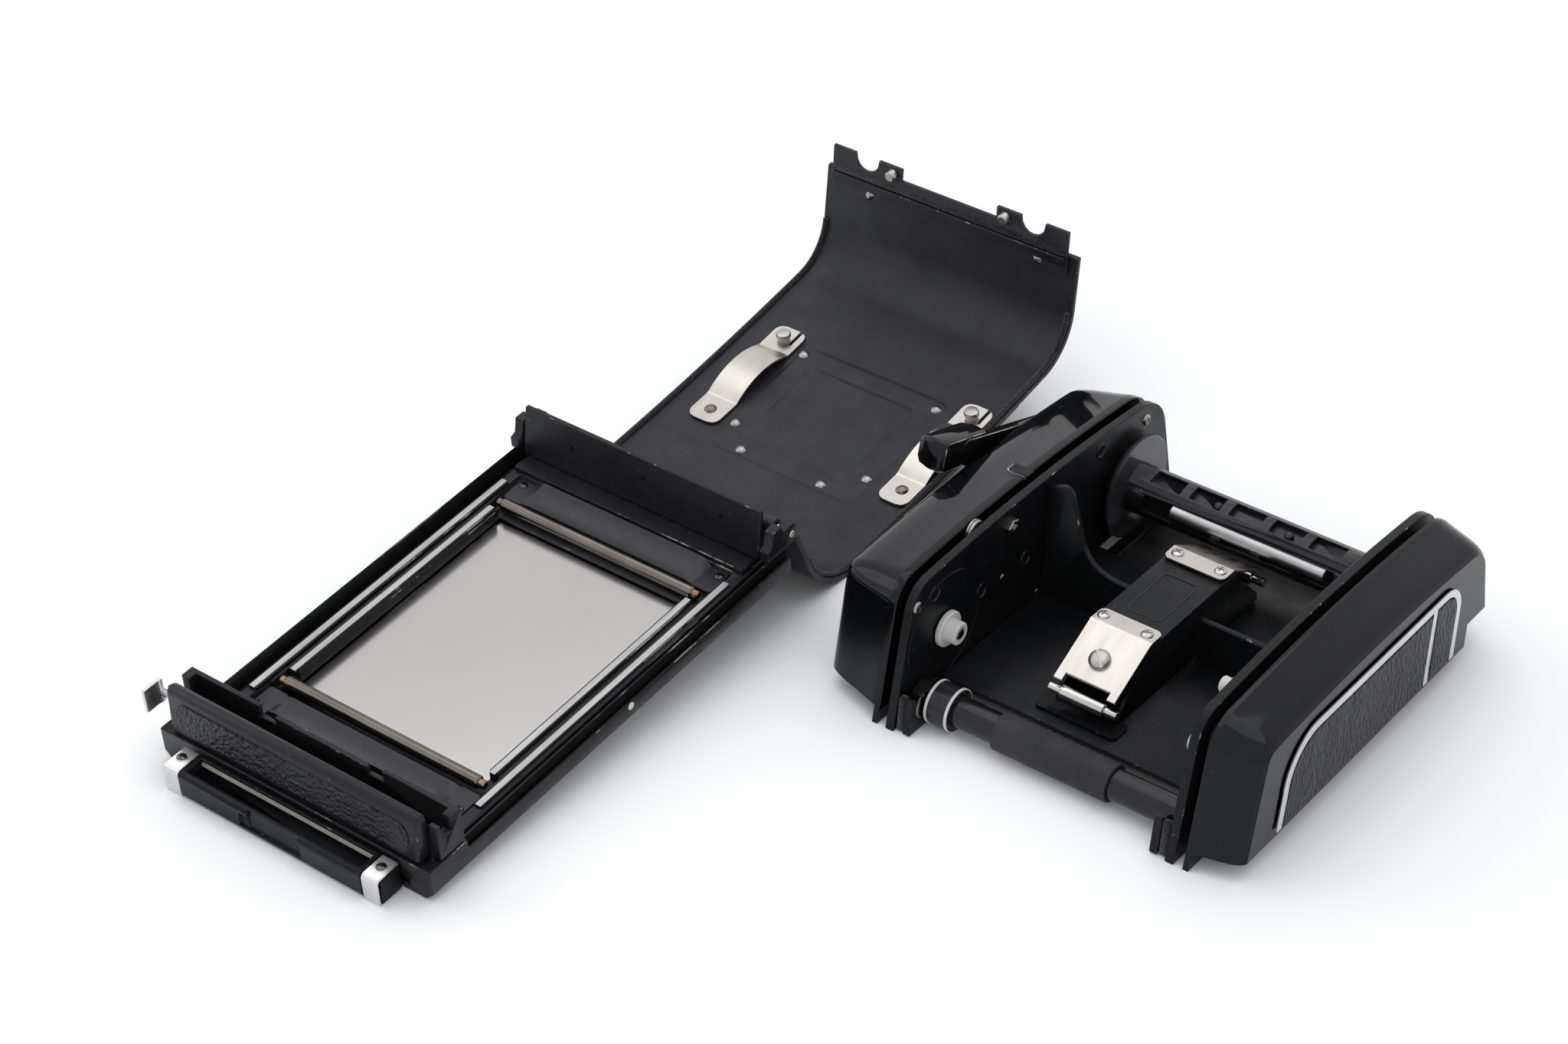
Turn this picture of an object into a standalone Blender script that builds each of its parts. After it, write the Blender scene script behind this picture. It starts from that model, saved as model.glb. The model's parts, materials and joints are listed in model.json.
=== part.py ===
"""Roll film holder of a medium format camera, lying open, with its spool insert beside it.

Units are metres and +Z is up. The holder is drawn in its own frame, with the film
rails at z = 0 and the gate centre at the origin, and is then tilted as it lies on the
table: on its front edge and on the bend of the opened back cover.
"""

import math

import bmesh
import bpy
from mathutils import Matrix, Vector

MM = 0.001
FIT = 0.3 * MM  # running or seating gap between separate pieces
MERGE = 1e-6
SMALL_ROUND = 16
ROUND = 28
HALF_TURN = math.pi
X_AXIS = Matrix(((0, 0, 1), (1, 0, 0), (0, 1, 0)))  # outline (y, z), thickness along x
Y_AXIS = Matrix(((1, 0, 0), (0, 0, -1), (0, 1, 0)))  # outline (x, z), thickness along -y
Z_AXIS = Matrix.Identity(3)  # outline (x, y), thickness along z

# Where the three groups stand on the table
HOLDER_PLACE = (-63.45 * MM, -53.63 * MM, 14.19 * MM)
HOLDER_TILT = math.radians(6.1)
INSERT_PLACE = (54.15 * MM, 49.37 * MM, 0.0)

# Film gate and frame casting
GATE_WIDTH = 56.0 * MM
GATE_LENGTH = 69.5 * MM
RAIL_WIDTH = 2.4 * MM
INNER_RAIL_X = 29.5 * MM
INNER_RAIL_LENGTH = 68.6 * MM
OUTER_RAIL_X = 33.4 * MM
OUTER_RAIL_LENGTH = 87.0 * MM
DECK_Z = -0.8 * MM
FRAME_HALF = 39.6 * MM
FRAME_FRONT = -65.8 * MM
FRAME_REAR = 59.7 * MM
FRAME_BOTTOM = -7.0 * MM
FRAME_CHAMFER = 2.0 * MM
RIM_TOP = 1.5 * MM
RIM_WIDTH = 1.8 * MM
GROOVE_IN = 35.4 * MM
GROOVE_FLOOR = -3.5 * MM
FRONT_BLOCK_REAR = -53.3 * MM
LEDGE_FRONT = 48.2 * MM
LEDGE_TOP = 0.6 * MM
VALLEY_FLOOR = -2.6 * MM

# Gate rollers and their retainers
GATE_ROLLER_Y = 37.3 * MM
GATE_ROLLER_Z = -1.0 * MM
GATE_ROLLER_RADIUS = 1.6 * MM
GATE_ROLLER_HALF = 30.2 * MM
RETAINER_NEAR = 39.2 * MM
RETAINER_FAR = 47.6 * MM

# Dark slide
SLIDE_HALF = 32.7 * MM
SLIDE_REAR = 40.8 * MM
SLIDE_TOP = -4.1 * MM
SLIDE_THICK = 1.0 * MM
SLIDE_NECK_HALF = 26.0 * MM
HANDLE_HALF = 31.4 * MM
HANDLE_FRONT = -73.6 * MM
HANDLE_REAR = -66.4 * MM
HANDLE_BOTTOM = -6.4 * MM
HANDLE_TOP = 0.8 * MM
CAP_INNER = 26.9 * MM
CAP_SHEET = 0.6 * MM

# Front wall, lip slot and latch
WALL_HALF = 36.5 * MM
WALL_TOP = 14.4 * MM
WALL_FRONT = -65.3 * MM
WALL_REAR = -60.9 * MM
SLOT_WALL_FRONT = -55.1 * MM
SLOT_WALL_REAR = -53.9 * MM
SLOT_WALL_TOP = 11.0 * MM
LATCH_REAR = -59.6 * MM
LATCH_THICK = 1.0 * MM
LATCH_TAB_X = -44.5 * MM
LATCH_TRAVEL = 3.0 * MM

# Hinge of the back cover
HINGE_Y = 61.4 * MM
HINGE_Z = 4.6 * MM
PIN_RADIUS = 0.9 * MM
KNUCKLE_RADIUS = 2.0 * MM
BRACKET_IN = 36.2 * MM
BRACKET_OUT = 38.8 * MM
COVER_SWING = math.radians(176.2)

# Back cover, drawn closed: an arched sheet between two leaning end walls
COVER_HALF = 38.9 * MM
COVER_MID_Y = 0.2 * MM
COVER_BASE_HALF = 60.75 * MM
COVER_BASE_Z = 4.4 * MM
COVER_REAR_Z = 7.2 * MM
COVER_LIP_Z = 7.5 * MM
COVER_TOP = 34.9 * MM
COVER_SHEET = 1.4 * MM
COVER_CORNERS = (15.3 * MM, 19.4 * MM)  # at the lip and at the hinge
CROWN_RADIUS = 960.0 * MM
END_LEAN = math.radians(14.5)
SPRING_X = 29.4 * MM
SPRING_SHIFT = 3.5 * MM  # the film runs off the middle of the cover
SPRING_WIDTH = 7.6 * MM
SPRING_SHEET = 0.6 * MM
SPRING_RIVET_Y = 12.6 * MM
SPRING_STUD_Y = -18.3 * MM
SPRING_RISE = 2.8 * MM
LIP_PIN_X = 17.4 * MM

# Insert: side plates, grooves and cheeks
PLATE_IN = 35.8 * MM
PLATE_OUT = 38.0 * MM
CHEEK_IN = 40.2 * MM
LEFT_CHEEK_OUT = 58.2 * MM
RIGHT_CHEEK_OUT = 52.8 * MM
CHEEK_BASE = 4.5 * MM
CHEEK_WALL = 2.0 * MM
INSERT_ENDS = (61.0 * MM, 57.4 * MM)  # front and rear ends at the base
INSERT_TOP = 37.4 * MM
INSERT_LEANS = (math.radians(10.5), math.radians(14.5))
INSERT_CORNERS = (8.0 * MM, 12.5 * MM)
INSERT_CROWN = 520.0 * MM
INSERT_CROWN_Y = -6.0 * MM
GROOVE_DEPTH = 4.5 * MM
FLOOR_TOP = 5.5 * MM
FLOOR_SHEET = 1.3 * MM
FLOOR_FRONT = -43.0 * MM
FLOOR_REAR = 44.0 * MM

# Insert: spools, rollers and bridge
FILM_X = -1.8 * MM
SUPPLY_Y = -42.0 * MM
SUPPLY_Z = 18.3 * MM
TAKEUP_Y = 34.2 * MM
TAKEUP_Z = 16.8 * MM
SPOOL_ENDS = (-32.4 * MM, 34.4 * MM)
FLANGE_RADIUS = 12.6 * MM
SPOOL_CORE = 6.2 * MM
SPOOL_BORE = 3.2 * MM
METER_Y = -51.5 * MM
METER_Z = 5.6 * MM
METER_RADIUS = 3.7 * MM
GUIDE_Y = 52.0 * MM
GUIDE_Z = 6.0 * MM
GUIDE_RADIUS = 3.6 * MM
BRIDGE_HALF = 8.3 * MM
BRIDGE_FRONT = -21.8 * MM
BRIDGE_REAR = 13.5 * MM
BRIDGE_TOP = 20.4 * MM
LEAF_ROLLER_RADIUS = 1.7 * MM
LEAF_ROLLER_OUT = 14.4 * MM
LEAF_ROLLER_Z = 9.9 * MM
CROSS_WALL_Y = -1.5 * MM
CROSS_WALL_SHEET = 1.6 * MM
COUNTER_Y = -26.7 * MM
COUNTER_Z = 34.6 * MM
COUNTER_TRAVEL = 2.0 * MM

# Wind lever, at rest pointing forward and up
LEVER_REACH = 39.0 * MM
LEVER_ANGLE = math.radians(153.7)
LEVER_INNER = -58.7 * MM
LEVER_SHEET = 2.4 * MM
THUMB_TILT = math.radians(164.0)


def clear_scene():
    for obj in list(bpy.data.objects):
        bpy.data.objects.remove(obj, do_unlink=True)


def new_collection(name):
    made = bpy.data.collections.new(name)
    bpy.context.scene.collection.children.link(made)
    return made


def new_material(name, colour, roughness, metallic=0.0):
    made = bpy.data.materials.new(name)
    made.use_nodes = True
    shader = made.node_tree.nodes["Principled BSDF"]
    shader.inputs["Base Color"].default_value = (*colour, 1.0)
    shader.inputs["Roughness"].default_value = roughness
    shader.inputs["Metallic"].default_value = metallic
    return made


clear_scene()
PARTS = new_collection("roll_film_holder")
CUTTERS = new_collection("cutters")
CUTTERS.hide_render = True
PAINT = new_material("satin_black_paint", (0.012, 0.012, 0.013), 0.42)
GLOSS = new_material("gloss_black_paint", (0.006, 0.006, 0.008), 0.12)
SHEET_BLACK = new_material("matt_black_sheet", (0.022, 0.022, 0.024), 0.6)
STEEL = new_material("polished_steel", (0.55, 0.53, 0.5), 0.2, 1.0)
DARK_STEEL = new_material("dark_steel", (0.2, 0.19, 0.18), 0.25, 1.0)
NICKEL = new_material("nickel_spring", (0.62, 0.58, 0.53), 0.25, 1.0)
CHROME = new_material("satin_chrome", (0.7, 0.7, 0.71), 0.2, 1.0)
STAINLESS = new_material("slide_steel", (0.52, 0.49, 0.46), 0.22, 1.0)
LEATHER = new_material("leatherette", (0.012, 0.012, 0.012), 0.7)
FELT = new_material("black_felt", (0.01, 0.01, 0.01), 0.95)
NYLON = new_material("white_nylon", (0.78, 0.78, 0.75), 0.45)
PLASTIC = new_material("black_plastic", (0.015, 0.015, 0.016), 0.4)
RUBBER = new_material("black_rubber", (0.02, 0.02, 0.02), 0.75)


def new_empty(name, place, parent=None, turn_x=0.0):
    made = bpy.data.objects.new(name, None)
    made.location = place
    made.rotation_euler = (turn_x, 0.0, 0.0)
    made.parent = parent
    PARTS.objects.link(made)
    return made


HOLDER = new_empty("holder_frame", HOLDER_PLACE, turn_x=HOLDER_TILT)
COVER = new_empty("cover_axis", (0.0, HINGE_Y, HINGE_Z), HOLDER, -COVER_SWING)
INSERT = new_empty("insert_frame", INSERT_PLACE)
FILM = new_empty("film_line", (FILM_X, 0.0, 0.0), INSERT)


def place_object(name, mesh, parent, material):
    """Links a mesh as a part, or as a hidden cutter when it has no material."""
    made = bpy.data.objects.new(name, mesh)
    made.parent = parent
    if material is None:
        CUTTERS.objects.link(made)
        made.hide_render = True
        made.display_type = "WIRE"
        return made
    PARTS.objects.link(made)
    mesh.materials.append(material)
    return made


def face_outwards(work):
    bmesh.ops.recalc_face_normals(work, faces=work.faces)
    if work.calc_volume(signed=True) < 0:
        bmesh.ops.reverse_faces(work, faces=work.faces)


def mesh_from(name, builder):
    """Runs builder on a new bmesh and returns it as a mesh with outward faces."""
    work = bmesh.new()
    builder(work)
    face_outwards(work)
    made = bpy.data.meshes.new(name)
    work.to_mesh(made)
    work.free()
    return made


def box(name, low, high, parent, material=None):
    """A block between two corners given in the parent's frame."""
    low, high = Vector(low), Vector(high)
    size = Matrix.Diagonal((high - low).to_4d())
    size[3][3] = 1.0
    where = Matrix.Translation((low + high) / 2) @ size

    def build(work):
        bmesh.ops.create_cube(work, size=1.0, matrix=where)

    return place_object(name, mesh_from(name, build), parent, material)


def rod(name, radius, low, high, centre, parent, material=None, segments=ROUND):
    """A round bar along x from low to high, centred on (y, z)."""
    middle = Vector(((low + high) / 2, centre[0], centre[1]))
    turn = Matrix.Translation(middle) @ Matrix.Rotation(HALF_TURN / 2, 4, "Y")

    def build(work):
        bmesh.ops.create_cone(
            work, cap_ends=True, segments=segments, radius1=radius, radius2=radius,
            depth=high - low, matrix=turn,
        )

    return place_object(name, mesh_from(name, build), parent, material)


def outline_solid(name, outline, low, high, axis, parent, material=None):
    """A flat outline given thickness from low to high, as a filled 2D curve made a mesh."""
    curve = bpy.data.curves.new(name, "CURVE")
    curve.dimensions = "2D"
    curve.fill_mode = "BOTH"
    curve.extrude = (high - low) / 2
    spline = curve.splines.new("POLY")
    spline.points.add(len(outline) - 1)
    for point, (u, v) in zip(spline.points, outline):
        point.co = (u, v, 0.0, 1.0)
    spline.use_cyclic_u = True
    guide = bpy.data.objects.new(name + "_curve", curve)
    CUTTERS.objects.link(guide)
    graph = bpy.context.evaluated_depsgraph_get()
    mesh = bpy.data.meshes.new_from_object(guide.evaluated_get(graph))
    bpy.data.objects.remove(guide)
    middle = axis @ Vector((0.0, 0.0, 1.0)) * ((low + high) / 2)
    if axis is Y_AXIS:
        middle = -middle
    work = bmesh.new()
    work.from_mesh(mesh)
    bmesh.ops.remove_doubles(work, verts=work.verts, dist=MERGE)
    bmesh.ops.dissolve_limit(work, angle_limit=0.002, verts=work.verts, edges=work.edges)
    work.transform(Matrix.Translation(middle) @ axis.to_4x4())
    face_outwards(work)
    work.to_mesh(mesh)
    work.free()
    mesh.name = name
    return place_object(name, mesh, parent, material)


def turned(name, profile, place, parent, material, steps=ROUND, closed=False):
    """A turned piece about the x axis through place; profile is (radius, x) from high x down."""
    points = list(profile)
    if not closed:
        points = [(0.0, points[0][1])] + points + [(0.0, points[-1][1])]
    ends = list(range(1, len(points)))
    edges = [(i - 1, i) for i in ends]
    if closed:
        edges.append((len(points) - 1, 0))
    mesh = bpy.data.meshes.new(name)
    mesh.from_pydata([(r, 0.0, x) for r, x in points], edges, [])
    made = place_object(name, mesh, parent, material)
    made.location = place
    made.rotation_euler = (0.0, HALF_TURN / 2, 0.0)
    spin = made.modifiers.new("turn", "SCREW")
    spin.steps = steps
    spin.render_steps = steps
    spin.use_merge_vertices = True
    spin.merge_threshold = 1e-5
    spin.use_smooth_shade = True
    return made


def loft(name, rings, parent, material=None):
    """A closed skin through rings of equal point counts."""

    def build(work):
        rows = [[work.verts.new(p) for p in ring] for ring in rings]
        for row, following in zip(rows, rows[1:]):
            for i in range(len(row)):
                j = (i + 1) % len(row)
                work.faces.new((row[i], row[j], following[j], following[i]))
        work.faces.new(rows[0])
        work.faces.new(rows[-1])

    return place_object(name, mesh_from(name, build), parent, material)


def boolean(target, other, operation):
    step = target.modifiers.new(other.name, "BOOLEAN")
    step.operation = operation
    step.solver = "EXACT"
    step.object = other


def cut(target, *others):
    for other in others:
        boolean(target, other, "DIFFERENCE")


def fuse(target, *others):
    for other in others:
        boolean(target, other, "UNION")


def soften(target, width, segments=2, angle=40.0):
    step = target.modifiers.new("edges", "BEVEL")
    step.width = width
    step.segments = segments
    step.limit_method = "ANGLE"
    step.angle_limit = math.radians(angle)


def arc(centre, radius, start, end, count):
    """Points along an arc, angles in radians."""
    turns = [start + (end - start) * i / count for i in range(count + 1)]
    return [(centre[0] + radius * math.cos(t), centre[1] + radius * math.sin(t)) for t in turns]


def bend(start, control, end, count=6):
    """Points along a quadratic curve, without its first point."""
    found = []
    for i in range(1, count + 1):
        t = i / count
        a, b, c = (1 - t) ** 2, 2 * t * (1 - t), t ** 2
        found.append(tuple(a * s + b * m + c * e for s, m, e in zip(start, control, end)))
    return found


def mirrored(half):
    """Closes an outline drawn for x >= 0 with its mirror image."""
    return half + [(-u, v) for u, v in reversed(half) if u > 0]


def corner_arc(half, crown_centre, big, radius, lean):
    """Rounded corner between a leaning end wall, half away at z = 0, and the crown circle."""
    slope = math.tan(lean)
    crown_y, crown_z = crown_centre
    across = half - radius / math.cos(lean) - crown_y
    # The corner's centre is on the wall moved in by radius and on a circle about the crown's
    a = 1 + slope * slope
    b = -2 * (across * slope + crown_z)
    c = across * across + crown_z * crown_z - (big - radius) ** 2
    z = (-b + math.sqrt(b * b - 4 * a * c)) / (2 * a)
    y = across + crown_y - z * slope
    meet = math.atan2(z - crown_z, y - crown_y)
    return arc((y, z), radius, lean, meet, 5), meet


def arch(halves, top, corners, crown, leans, ends, crown_y=0.0, inset=0.0):
    """Back profile from rear end over the crown to front end, moved inwards by inset.

    Pairs are (front, rear): half lengths at z = 0, corner radii, leans of the end walls and
    the heights at which these walls stop.
    """
    big = crown - inset
    centre_z = top - crown
    sides, meets = [], []
    for half, radius, lean, end, way in zip(halves, corners, leans, ends, (-1, 1)):
        half -= inset / math.cos(lean)
        turn, meet = corner_arc(half, (way * crown_y, centre_z), big, radius - inset, lean)
        wall = (half - end * math.tan(lean), end)
        sides.append([(way * y, z) for y, z in [wall] + turn])
        meets.append(meet)
    front, rear = sides
    over = arc((crown_y, centre_z), big, meets[1], HALF_TURN - meets[0], 10)[1:-1]
    return rear + over + list(reversed(front))


def crown_z(y, top, crown=CROWN_RADIUS):
    return top - crown + math.sqrt(crown * crown - y * y)


def build_frame():
    half = [
        (0.0, FRAME_BOTTOM), (FRAME_HALF - FRAME_CHAMFER, FRAME_BOTTOM),
        (FRAME_HALF, FRAME_BOTTOM + FRAME_CHAMFER), (FRAME_HALF, RIM_TOP),
        (FRAME_HALF - RIM_WIDTH, RIM_TOP), (FRAME_HALF - RIM_WIDTH, GROOVE_FLOOR),
        (GROOVE_IN, GROOVE_FLOOR), (GROOVE_IN, DECK_Z), (0.0, DECK_Z),
    ]
    frame = outline_solid(
        "main_frame", mirrored(half), FRONT_BLOCK_REAR - MM, FRAME_REAR, Y_AXIS, HOLDER, PAINT)
    block = mirrored(half[:4] + [(0.0, RIM_TOP)])
    fuse(frame, outline_solid(
        "front_block", block, FRAME_FRONT, FRONT_BLOCK_REAR, Y_AXIS, HOLDER))
    for side in (-1, 1):
        for x, length in ((INNER_RAIL_X, INNER_RAIL_LENGTH), (OUTER_RAIL_X, OUTER_RAIL_LENGTH)):
            low = (side * x - RAIL_WIDTH / 2, -length / 2, DECK_Z - MM)
            high = (side * x + RAIL_WIDTH / 2, length / 2, 0.0)
            fuse(frame, box("rail_land", low, high, HOLDER))
    fuse(frame, box(
        "hinge_ledge", (-GROOVE_IN + MM, LEDGE_FRONT, DECK_Z - MM),
        (GROOVE_IN - MM, FRAME_REAR - 2 * MM, LEDGE_TOP), HOLDER))
    well = 12 * MM
    gate = (GATE_WIDTH / 2, GATE_LENGTH / 2)
    cut(frame, box("gate_cut", (-gate[0], -gate[1], -well), (gate[0], gate[1], well), HOLDER))
    cradle_x = GATE_ROLLER_HALF + 1.1 * MM
    cradle_z = GATE_ROLLER_Z - GATE_ROLLER_RADIUS - FIT
    valley_x = 32.0 * MM
    far_ends = (("rear", 1, RETAINER_FAR + 0.4 * MM), ("front", -1, -SLOT_WALL_REAR - MM))
    for name, side, far in far_ends:
        near = sorted((side * (gate[1] - MM), side * RETAINER_NEAR + side * FIT))
        cut(frame, box(
            name + "_cradle", (-cradle_x, near[0], cradle_z), (cradle_x, near[1], well), HOLDER))
        reach = sorted((side * RETAINER_NEAR, side * far))
        cut(frame, box(
            name + "_valley", (-valley_x, reach[0], VALLEY_FLOOR), (valley_x, reach[1], well),
            HOLDER))
    cut(frame, box("lip_slot", (-36.8 * MM, -60.4 * MM, -0.4 * MM), (36.8 * MM, -55.6 * MM, well),
                   HOLDER))
    slack = 0.4 * MM
    cut(frame, box(
        "slide_slot", (-SLIDE_HALF - slack, FRAME_FRONT - MM, SLIDE_TOP - SLIDE_THICK - slack),
        (SLIDE_HALF + slack, SLIDE_REAR + slack, SLIDE_TOP + slack), HOLDER))


def build_retainers():
    """Sheet that holds each gate roller: a flat tongue at either end of a dished middle."""
    dished = 26.5 * MM
    tongue = 31.2 * MM
    sheet_low = VALLEY_FLOOR + FIT
    sheet_high = sheet_low + 0.8 * MM
    for name, side in (("front_retainer", -1), ("rear_retainer", 1)):
        span = sorted((side * RETAINER_NEAR + side * 0.6 * MM, side * RETAINER_FAR))
        retainer = box(
            name, (-tongue, span[0], sheet_low), (tongue, span[1], sheet_high), HOLDER, SHEET_BLACK)
        near, far = RETAINER_NEAR + 0.9 * MM, RETAINER_FAR - 0.2 * MM
        top = [(near, -1.2 * MM)] + bend((near, -1.2 * MM), (43.5 * MM, -1.4 * MM), (far, 0.5 * MM))
        dish = [(side * y, z) for y, z in [(near, sheet_low + 0.1 * MM)] + top]
        dish.append((side * far, sheet_low + 0.1 * MM))
        fuse(retainer, outline_solid(name + "_dish", dish, -dished, dished, X_AXIS, HOLDER))


def build_gate_rollers():
    half, tip = GATE_ROLLER_HALF, 1.1 * MM
    shoulder = half - 1.8 * MM
    profile = [
        (tip, half), (tip, shoulder), (GATE_ROLLER_RADIUS, shoulder - 0.3 * MM),
        (GATE_ROLLER_RADIUS, -shoulder + 0.3 * MM), (tip, -shoulder), (tip, -half),
    ]
    for name, side in (("front_gate_roller", -1), ("rear_gate_roller", 1)):
        place = (0.0, side * GATE_ROLLER_Y, GATE_ROLLER_Z)
        turned(name, profile, place, HOLDER, DARK_STEEL, SMALL_ROUND)


def build_front_wall():
    foot = RIM_TOP + FIT
    crest = 1.9 * MM
    face_top = (WALL_FRONT + 0.7 * MM, WALL_TOP - crest)
    back_top = (WALL_REAR - 0.2 * MM, WALL_TOP - crest)
    middle = (face_top[0] + back_top[0]) / 2
    over = arc((middle, WALL_TOP - crest), (back_top[0] - face_top[0]) / 2, HALF_TURN, 0.0, 8)
    outline = [(WALL_FRONT, foot)] + over + [(WALL_REAR, foot)]
    wall = outline_solid("front_wall", outline, -WALL_HALF, WALL_HALF, X_AXIS, HOLDER, PAINT)
    soften(wall, 0.8 * MM)
    lean = 0.7 / 10.7
    low, high, skin = 3.6 * MM, 11.6 * MM, 0.6 * MM
    strip = [
        (WALL_FRONT + (low - foot) * lean - FIT, low),
        (WALL_FRONT + (low - foot) * lean - FIT - skin, low),
        (WALL_FRONT + (high - foot) * lean - FIT - skin, high),
        (WALL_FRONT + (high - foot) * lean - FIT, high),
    ]
    outline_solid("front_leather", strip, -34.0 * MM, 34.0 * MM, X_AXIS, HOLDER, LEATHER)


def build_slot_wall():
    """Inner wall of the lip slot with its end posts, notched for the lip's ears."""
    foot, post_in, post_out = RIM_TOP + FIT, 36.9 * MM, 39.3 * MM
    post_front = -61.6 * MM
    half = [(0.0, SLOT_WALL_FRONT), (post_in, SLOT_WALL_FRONT), (post_in, post_front),
            (post_out, post_front), (post_out, SLOT_WALL_REAR), (0.0, SLOT_WALL_REAR)]
    wall = outline_solid(
        "slot_wall", mirrored(half), foot, SLOT_WALL_TOP, Z_AXIS, HOLDER, PAINT)
    notch_low, above, deep = 8.0 * MM, 14.0 * MM, 2.0 * MM
    for x in (-15.8 * MM, 15.8 * MM):
        cut(wall, box(
            "lip_notch", (x - 2.3 * MM, SLOT_WALL_FRONT - deep, notch_low),
            (x + 2.3 * MM, SLOT_WALL_REAR + deep, above), HOLDER))
    cut(wall, box(
        "low_middle", (-13.6 * MM, SLOT_WALL_FRONT - deep, 9.9 * MM),
        (13.6 * MM, SLOT_WALL_REAR + deep, above), HOLDER))
    for side in (-1, 1):
        ends = sorted((side * 36.4 * MM, side * 40.0 * MM))
        cut(wall, box("shell_way", (ends[0], -60.3 * MM, COVER_LIP_Z - FIT),
                      (ends[1], -57.3 * MM, above), HOLDER))
    cut(wall, box(
        "latch_way", (-42.0 * MM, LATCH_REAR - LATCH_THICK - FIT, 4.7 * MM),
        (-35.0 * MM, LATCH_REAR + FIT, above), HOLDER))


def build_latch():
    """Latch bar behind the front wall, bent into a thumb tab outside the left end."""
    front = LATCH_REAR - LATCH_THICK
    tab_front = -65.0 * MM
    tab = LATCH_TAB_X + 1.0 * MM
    outline = [(LATCH_TAB_X, tab_front), (tab, tab_front), (tab, front), (32.0 * MM, front),
               (32.0 * MM, LATCH_REAR), (LATCH_TAB_X, LATCH_REAR)]
    latch = outline_solid("cover_latch", outline, 2.0 * MM, 9.6 * MM, Z_AXIS, HOLDER, CHROME)
    deep, right, above = 2.0 * MM, 40.0 * MM, 14.0 * MM
    bar_low, bar_high, hook_floor = 5.0 * MM, 7.0 * MM, 4.6 * MM
    cut(latch, box("over_bar", (tab + FIT, front - deep, bar_high), (right, LATCH_REAR + deep, above),
                   HOLDER))
    cut(latch, box("under_neck", (tab + FIT, front - deep, 0.0),
                   (-35.5 * MM, LATCH_REAR + deep, bar_low), HOLDER))
    cut(latch, box("under_tab", (LATCH_TAB_X - MM, tab_front - MM, 0.0),
                   (tab + MM, LATCH_REAR + deep, 3.2 * MM), HOLDER))
    for side in (-1, 1):
        x = side * LIP_PIN_X - LATCH_TRAVEL / 2
        reach = 1.3 * MM + LATCH_TRAVEL / 2 + 0.5 * MM
        cut(latch, box("pin_hook", (x - reach, front - deep, hook_floor),
                       (x + reach, LATCH_REAR + deep, above), HOLDER))


def build_dark_slide():
    neck_front, neck_rear = -69.2 * MM, -66.0 * MM
    half = [(0.0, neck_front), (SLIDE_NECK_HALF, neck_front), (SLIDE_NECK_HALF, neck_rear),
            (SLIDE_HALF, neck_rear + 2 * MM), (SLIDE_HALF, SLIDE_REAR), (0.0, SLIDE_REAR)]
    low = SLIDE_TOP - SLIDE_THICK
    outline_solid("dark_slide", mirrored(half), low, SLIDE_TOP, Z_AXIS, HOLDER, STAINLESS)
    crest = 1.2 * MM
    profile = [(HANDLE_REAR, HANDLE_BOTTOM), (HANDLE_REAR, HANDLE_TOP)]
    profile += arc((HANDLE_FRONT + crest, HANDLE_TOP - crest), crest, HALF_TURN / 2, HALF_TURN, 4)
    profile += arc((HANDLE_FRONT + crest, HANDLE_BOTTOM + crest), crest, HALF_TURN,
                   1.5 * HALF_TURN, 4)
    handle = outline_solid(
        "slide_handle", profile, -HANDLE_HALF, HANDLE_HALF, X_AXIS, HOLDER, PLASTIC)
    cut(handle, box(
        "handle_trough", (-25.4 * MM, -71.8 * MM, -2.4 * MM),
        (25.4 * MM, -67.3 * MM, 3 * MM), HOLDER))
    neck = SLIDE_NECK_HALF + FIT
    cut(handle, box(
        "neck_slot", (-neck, neck_front - FIT, low - FIT), (neck, 0.0, SLIDE_TOP + FIT), HOLDER))
    cut(handle, box(
        "front_panel", (-9.0 * MM, HANDLE_FRONT - MM, -5.0 * MM),
        (9.0 * MM, HANDLE_FRONT + 0.5 * MM, -1.2 * MM), HOLDER))
    skin = CAP_SHEET + FIT
    edge = 3.0 * MM
    for name, side in (("slide_cap_left", -1), ("slide_cap_right", 1)):
        reach = sorted((side * (CAP_INNER - FIT), side * (HANDLE_HALF + MM)))
        cut(handle, box(
            name + "_top", (reach[0], HANDLE_FRONT - MM, HANDLE_TOP - skin),
            (reach[1], HANDLE_REAR + MM, HANDLE_TOP + MM), HOLDER))
        cut(handle, box(
            name + "_face", (reach[0], HANDLE_FRONT - MM, HANDLE_BOTTOM - MM),
            (reach[1], HANDLE_FRONT + skin, HANDLE_TOP + MM), HOLDER))
        outer = [(HANDLE_REAR, HANDLE_TOP)]
        outer += arc((HANDLE_FRONT + crest, HANDLE_TOP - crest), crest, HALF_TURN / 2, HALF_TURN, 4)
        outer.append((HANDLE_FRONT, HANDLE_BOTTOM))
        inner = [(HANDLE_FRONT + CAP_SHEET, HANDLE_BOTTOM)]
        inner += arc((HANDLE_FRONT + crest, HANDLE_TOP - crest), crest - CAP_SHEET, HALF_TURN,
                     HALF_TURN / 2, 4)
        inner.append((HANDLE_REAR, HANDLE_TOP - CAP_SHEET))
        span = sorted((side * CAP_INNER, side * HANDLE_HALF))
        outline_solid(name, outer + inner, span[0], span[1], X_AXIS, HOLDER, CHROME)
        cut(handle, box(
            name + "_corner", (reach[0], HANDLE_FRONT - MM, HANDLE_TOP - edge),
            (reach[1], HANDLE_FRONT + skin + 0.4 * MM, HANDLE_TOP + MM), HOLDER))


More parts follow.
